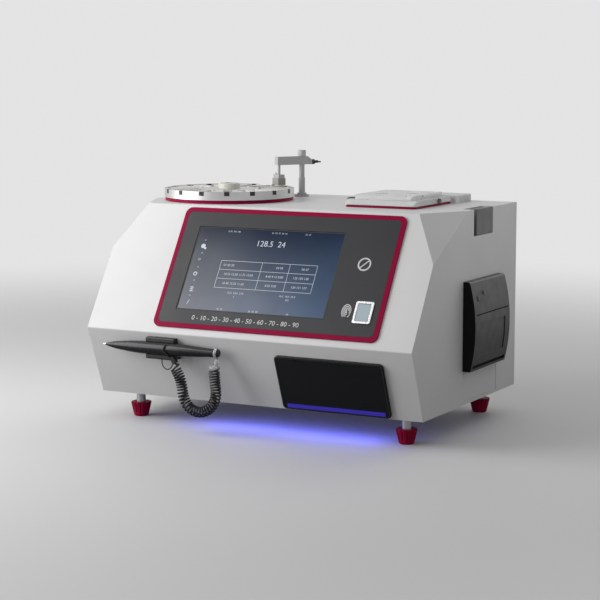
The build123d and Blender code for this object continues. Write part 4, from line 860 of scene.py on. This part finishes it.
prints = Ink(film_turn, film_level, thickness=0.00005)
prints.number("0 - 10 - 20 - 30 - 40 - 50 - 60 - 70 - 80 - 90", -0.002, -0.0588, 0.0052)
badge_x, badge_y = 0.1192, 0.0150
badge_reach = 0.0036
prints.ring(badge_x, badge_y, 0.0076, 0.0017)
prints.line(badge_x - badge_reach, badge_y - badge_reach, badge_x + badge_reach, badge_y + badge_reach,
            0.0013)
finger_x, finger_y = 0.1125, -0.0389
finger_core = 0.0012
for k in range(4):
    prints.ring(finger_x, finger_y, 0.0080 - k * 0.0019, 0.0011, squeeze=0.68,
                start=math.radians(-60 + 35 * k), sweep=math.radians(300), steps=36)
prints.line(finger_x, finger_y - finger_core, finger_x, finger_y + finger_core, 0.0009)
prints.lay("panel_prints", "base", print_white, "white_plastic")


# Drawer front's raised rim, and a glowing strip along its foot: painted reflection of the blue lamp glow

front_turn, front_middle = flat_face("drawer_front", Vector((0, -1, -0.4)))
front_width, front_height = face_size("drawer_front", front_turn, front_middle)
rim_inset = 0.0006
rim_width = 0.0016
rim_outer = (front_width - rim_inset * 2, front_height - rim_inset * 2)
rim = Ink(front_turn, front_middle, thickness=0.0004)
rim.area(rounded(*rim_outer, 0.0045), rounded(*(size - rim_width * 2 for size in rim_outer), 0.0030))
rim.lay("drawer_rim", "drawer", black, "smoke")
# A thin glowing blue strip along the foot of the drawer front: painted reflection of the lamp glow on the
# table
reflection_band_height = 0.0046
reflection_band_lift = rim_width + 0.0010
reflection_band_margin = 0.006
reflection_band = Ink(front_turn, front_middle, thickness=0.0003)
reflection_band.bar(0, (reflection_band_height - front_height) / 2 + reflection_band_lift, front_width - reflection_band_margin * 2, reflection_band_height)
reflection_band.lay("drawer_sill", "drawer", drawer_blue_reflection, "smoke")


# Port contacts, lamp chips and the rocker's marks

port_middle = middle_of("port_block")
port_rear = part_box("port_block")[1].y
contact_spread = 0.010
contact_sink = 0.0075
contact_rise = 0.0044
contact_rows = [(port_middle.x + side * contact_spread, 0, 0) for side in (-1, 1)]
contacts = grow("port_contacts", row_tree(brass), contact_rows,
                Matrix.Translation((0, port_rear - contact_sink, port_middle.z + contact_rise)),
                pitch=0.00118, size=(0.0005, 0.0085, 0.0006))
show("port_contacts", contacts, "base", brass, "pen_silver")

chip_drop = 0.0003
lamp_middle = middle_of("led_strip")
lamp_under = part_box("led_strip")[0].z
lamp_row = (lamp_middle.x, lamp_middle.y, lamp_under - chip_drop)
lamps = grow("lamp_chips", row_tree(led_blue), [lamp_row], Matrix(), count=36, pitch=0.0070,
             size=(0.0034, 0.0028, 0.0010))
show("lamp_chips", lamps, "base", led_blue, "led")

rocker_turn, rocker_middle = flat_face("rocker_switch", Vector((0, 1, 0.3)))
sign_y = 0.0012
signs = Ink(rocker_turn, rocker_middle, thickness=0.00006)
signs.bar(0, sign_y, 0.0007, 0.0030)
signs.ring(0, -sign_y, 0.0016, 0.0006)
signs.lay("rocker_marks", "rocker", print_white, "white_plastic")


# Pen with its swivel. Its outlines are given as radius and distance from the point.

pen_axis = middle_of("pen_barrel")
pen_place = along(along_x, Vector((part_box("pen_tip")[0].x, pen_axis.y, pen_axis.z)))
barrel = [(0, 0.0150), (0.0036, 0.0150), (0.0039, 0.0160), (0.0046, 0.0220), (0.0054, 0.0295),
          (0.0061, 0.0370), (0.0066, 0.0430), (0.0068, 0.0500), (0.0068, 0.0940), (0.0066, 0.1010),
          (0.0060, 0.1130), (0.0052, 0.1260), (0.0046, 0.1330), (0.0044, 0.1430), (0.0041, 0.1455),
          (0.0032, 0.1467), (0, 0.1470)]
show("pen_body", turned("pen_body", barrel, pen_place), "pen", pen_black, "pen_black", "pen_barrel")
cone = [(0, 0.0041), (0.0014, 0.0041), (0.0020, 0.0068), (0.0036, 0.0142), (0.0036, 0.0149), (0, 0.0149)]
show("pen_cone", turned("pen_cone", cone, pen_place), "pen", pen_black, "pen_black", "pen_tip")
nib = [(0, 0), (0.0006, 0.0002), (0.0009, 0.0014), (0.0012, 0.0040), (0, 0.0040)]
show("pen_point", turned("pen_point", nib, pen_place), "pen", pen_silver, "pen_silver")

cord_diameter = 0.0020
coil_radius = 0.0050
swivel_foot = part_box("cord_swivel")[0].z
ring_middle = Vector((middle_of("cord_swivel").x, pen_axis.y, pen_axis.z))
ring_half = 0.0012
ring_bore = 0.00446
ring = [(ring_bore, -ring_half), (0.0056, -ring_half), (0.0058, 0), (0.0056, ring_half),
        (ring_bore, ring_half), (ring_bore, -ring_half)]
ring_mesh = turned("swivel_ring", ring, along(along_x, ring_middle))
swivel_ring = show("swivel_ring", ring_mesh, "pen", ring_plastic, "clear_plastic", "cord_swivel")

sleeve_height = 0.0058
sleeve = [(0, 0), (0.0020, 0), (0.0022, 0.0004), (0.0022, 0.0046), (0.0012, sleeve_height),
          (0, sleeve_height)]
sleeve_place = Matrix.Translation((ring_middle.x, ring_middle.y, swivel_foot))
sleeve_mesh = turned("swivel_sleeve", sleeve, sleeve_place)
swivel_sleeve = show("swivel_sleeve", sleeve_mesh, "pen", ring_plastic, "clear_plastic")

cup_height = 0.0034
cup = [(0, 0), (0.0053, 0), (0.0056, 0.0006), (0.0054, 0.0022), (0.0044, 0.0031), (0, cup_height)]
cup_place = Matrix.Translation((ring_middle.x, ring_middle.y - coil_radius, swivel_foot - cup_height))
swivel_cup = show("swivel_cup", turned("swivel_cup", cup, cup_place), "pen", ring_plastic, "clear_plastic")

hook_sink = 0.0008
hook_foot = Vector((ring_middle.x, ring_middle.y, swivel_foot + sleeve_height - hook_sink))
hook_top = ring_middle - up_z * 0.0054
hook_side = ((hook_foot, 0.0010, 0.0006), (hook_foot, 0.0013, 0.0032), (hook_top, 0.0006, 0))
hook = [hook_foot]
hook += [base + Vector((x, 0, z)) for base, x, z in hook_side]
hook += [base + Vector((-x, 0, z)) for base, x, z in hook_side[::-1]]
hook_mesh = tube("swivel_hook", hook, radius=0.00035, sides=8, closed=True)
swivel_hook = show("swivel_hook", hook_mesh, "pen", pen_silver, "pen_silver")


# Curly cord. Its route is given as x from the housing's middle and z, in the upright plane of the pen's axis.

cord_route = [
    (-0.0794, 0.0746),
    (-0.0726, 0.0642),
    (-0.0686, 0.0532),
    (-0.0674, 0.0418),
    (-0.0628, 0.0318),
    (-0.0536, 0.0254),
    (-0.0426, 0.0252),
    (-0.0328, 0.0308),
    (-0.0270, 0.0404),
    (-0.0264, 0.0514),
    (-0.0286, 0.0640),
    (-0.0286, 0.0770),
]
coil_turns = 37
coil_spread = 0.14
coil_end_rise = 0.0028
turn_steps = 20


def smooth_line(points):
    """Points along the smooth curve that the given points control."""
    curve = bpy.data.curves.new("route", "CURVE")
    curve.dimensions = "3D"
    curve.resolution_u = 40
    spline = curve.splines.new("NURBS")
    spline.points.add(len(points) - 1)
    for point, place in zip(spline.points, points):
        point.co = (*place, 1)
    spline.order_u = 3
    spline.use_endpoint_u = True
    return [v.co.copy() for v in baked(placed("route", curve)).vertices]


class Route:
    """A line that can be read by the distance along it."""

    def __init__(self, points):
        self.points = points
        self.marks = [0.0]
        for before, after in zip(points, points[1:]):
            self.marks.append(self.marks[-1] + (after - before).length)
        self.length = self.marks[-1]

    def at(self, distance):
        """The place and the direction at a distance."""
        number = next((i for i, m in enumerate(self.marks[1:]) if m >= distance), len(self.points) - 2)
        before, after = self.points[number], self.points[number + 1]
        share = (distance - self.marks[number]) / (self.marks[number + 1] - self.marks[number])
        return before.lerp(after, share), (after - before).normalized()


def curl(route, share):
    """A point of the curls round the route. They lie wider in the bend, and the end ones climb faster."""
    opening = min(max(coil_turns * share * 2, 0), 1) - min(max(coil_turns * (1 - share) * 2, 0), 1)
    steady = route.length - (cord_diameter + coil_end_rise) * 2
    spread = coil_spread * math.sin(full_turn * share) / full_turn
    centre, forward = route.at(route.length / 2 + (share - 1 / 2 - spread) * steady + opening * coil_end_rise)
    side = forward.cross(along_y).normalized()
    angle = full_turn * coil_turns * share
    swing = side * math.sin(angle) + along_y * math.cos(angle)
    return centre - along_y * coil_radius + swing * coil_radius


# The housing's middle, to a tenth of a micrometre
place_digits = 7
housing_x = round(middle_of("housing_shell").x, place_digits)
route_zero = Vector((housing_x, pen_axis.y, 0))
route = Route(smooth_line([route_zero + Vector((x, 0, z)) for x, z in cord_route]))
curls = coil_turns * turn_steps
cord_points = [route.points[0], *[curl(route, i / curls) for i in range(curls + 1)], route.points[-1]]
cord_mesh = tube("pen_cord", cord_points, cord_diameter / 2)
curly_cord = show("pen_cord", cord_mesh, "base", cord_black, "rubber", "curly_cord")
curly_cord.parent = None
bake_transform(curly_cord)


# Holder's keeper round the pen and the wire bail under it

holder_low, holder_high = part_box("pen_holder")
keeper_x = holder_high.x - 0.0136
keeper_radius = 0.0082
keeper_start, keeper_sweep = math.radians(40), math.radians(262)
keeper_steps = 20
lean_above, lean_below = 0.0024, 0.0062
keeper = []
for i in range(keeper_steps + 1):
    turn = keeper_start + keeper_sweep * i / keeper_steps
    lean = lean_above * max(math.cos(turn), 0) + lean_below * max(-math.cos(turn), 0)
    keeper.append(Vector((keeper_x + lean, pen_axis.y - math.sin(turn) * keeper_radius,
                          pen_axis.z + math.cos(turn) * keeper_radius)))
show("pen_keeper", tube("pen_keeper", keeper, radius=0.0008), "base", black, "black_plastic")

bail_start = Vector((holder_high.x - 0.0200, pen_axis.y, holder_low.z + 0.0048))
bail_half, bail_drop, bail_fullness = 0.0070, 0.0105, 0.8
bail_steps = 16
bail = []
for i in range(bail_steps + 1):
    turn = math.pi * i / bail_steps
    hang = bail_drop * math.sin(turn) ** bail_fullness
    bail.append(bail_start + Vector((bail_half * (1 - math.cos(turn)), 0, -hang)))
show("wire_bail", tube("wire_bail", bail, radius=0.0006), "base", black, "black_plastic")


# Stage, light and camera

background = (0.78, 0.772, 0.772)
floor_colour = (0.74, 0.735, 0.735)
floor_bounce = (0.14, 0.138, 0.138)
ambient = 0.31
light_target = Vector((0, 0, 0.12))


def stage_floor():
    """A pale floor that fades into the background, and throws less light up than it shows."""
    fade_start, fade_end = 0.5, 1.7
    bpy.ops.mesh.primitive_circle_add(vertices=96, radius=30, fill_type="NGON", location=origin)
    floor = bpy.context.object
    floor.name = "floor"
    finish = Finish("pale_floor", floor_colour, 0.6)
    seen = finish.add("ShaderNodeLightPath", {}, "Is Camera Ray")
    finish.feed("Base Color", finish.blend(seen, floor_bounce, floor_colour))
    reach = finish.add("ShaderNodeVectorMath", {0: finish.place}, "Value", operation="LENGTH")
    wires = {"Value": reach, "From Min": fade_start, "From Max": fade_end}
    share = finish.add("ShaderNodeMapRange", wires, interpolation_type="SMOOTHSTEP")
    far = finish.add("ShaderNodeEmission", {"Color": (*background, 1), "Strength": 1.0})
    mix = finish.add("ShaderNodeMixShader", {"Fac": share, 1: finish.shader.outputs[0], 2: far})
    finish.wire(finish.graph.nodes["Material Output"].inputs["Surface"], mix)
    floor.data.materials.append(finish.material)


def stage_world():
    """Even light from all round, and a plain background for the camera, mirrors and clear pieces."""
    world = bpy.data.worlds.new("studio")
    bpy.context.scene.world = world
    world.use_nodes = True
    world.node_tree.nodes.clear()
    sky = Nodes(world.node_tree)
    seen = sky.add("ShaderNodeLightPath", {}, "Is Camera Ray")
    for kind in ("Is Glossy Ray", "Is Transmission Ray"):
        wires = {0: seen, 1: sky.add("ShaderNodeLightPath", {}, kind)}
        seen = sky.add("ShaderNodeMath", wires, use_clamp=True)
    light = sky.add("ShaderNodeBackground", {"Color": (1, 1, 1, 1), "Strength": ambient})
    plain = sky.add("ShaderNodeBackground", {"Color": (*background, 1), "Strength": 1.0})
    mix = sky.add("ShaderNodeMixShader", {0: seen, 1: light, 2: plain})
    sky.wire(sky.graph.nodes.new("ShaderNodeOutputWorld").inputs["Surface"], mix)


def area_light(name, direction, distance, size, energy):
    lamp = bpy.data.lights.new(name, "AREA")
    lamp.shape = "RECTANGLE"
    lamp.size, lamp.size_y = size
    lamp.energy = energy
    holder = placed(name, lamp)
    towards = Vector(direction).normalized()
    holder.matrix_world = along(towards, light_target + towards * distance)
    holder.visible_camera = False


stage_floor()
stage_world()
area_light("window", (-0.76, -0.56, 0.38), distance=1.05, size=(0.9, 0.9), energy=9.6)
area_light("rear_fill", (0.3, 0.9, 0.6), distance=2.4, size=(1.8, 1.4), energy=8)

camera_place = Vector((0.92489, -1.75978, 0.3919))
camera_yaw = math.radians(28.02)
camera_pitch = math.radians(7.46)
level_share = math.cos(camera_pitch)
towards = Vector((-math.sin(camera_yaw) * level_share, math.cos(camera_yaw) * level_share,
                  -math.sin(camera_pitch)))
camera = placed("camera", bpy.data.cameras.new("camera"))
camera.data.sensor_width = 36
camera.data.lens = 108.41
camera_turn = (-towards).to_track_quat("Z", "Y").to_matrix().to_4x4()
camera.matrix_world = Matrix.Translation(camera_place) @ camera_turn
bpy.context.scene.camera = camera
bpy.context.scene.view_settings.view_transform = "Standard"
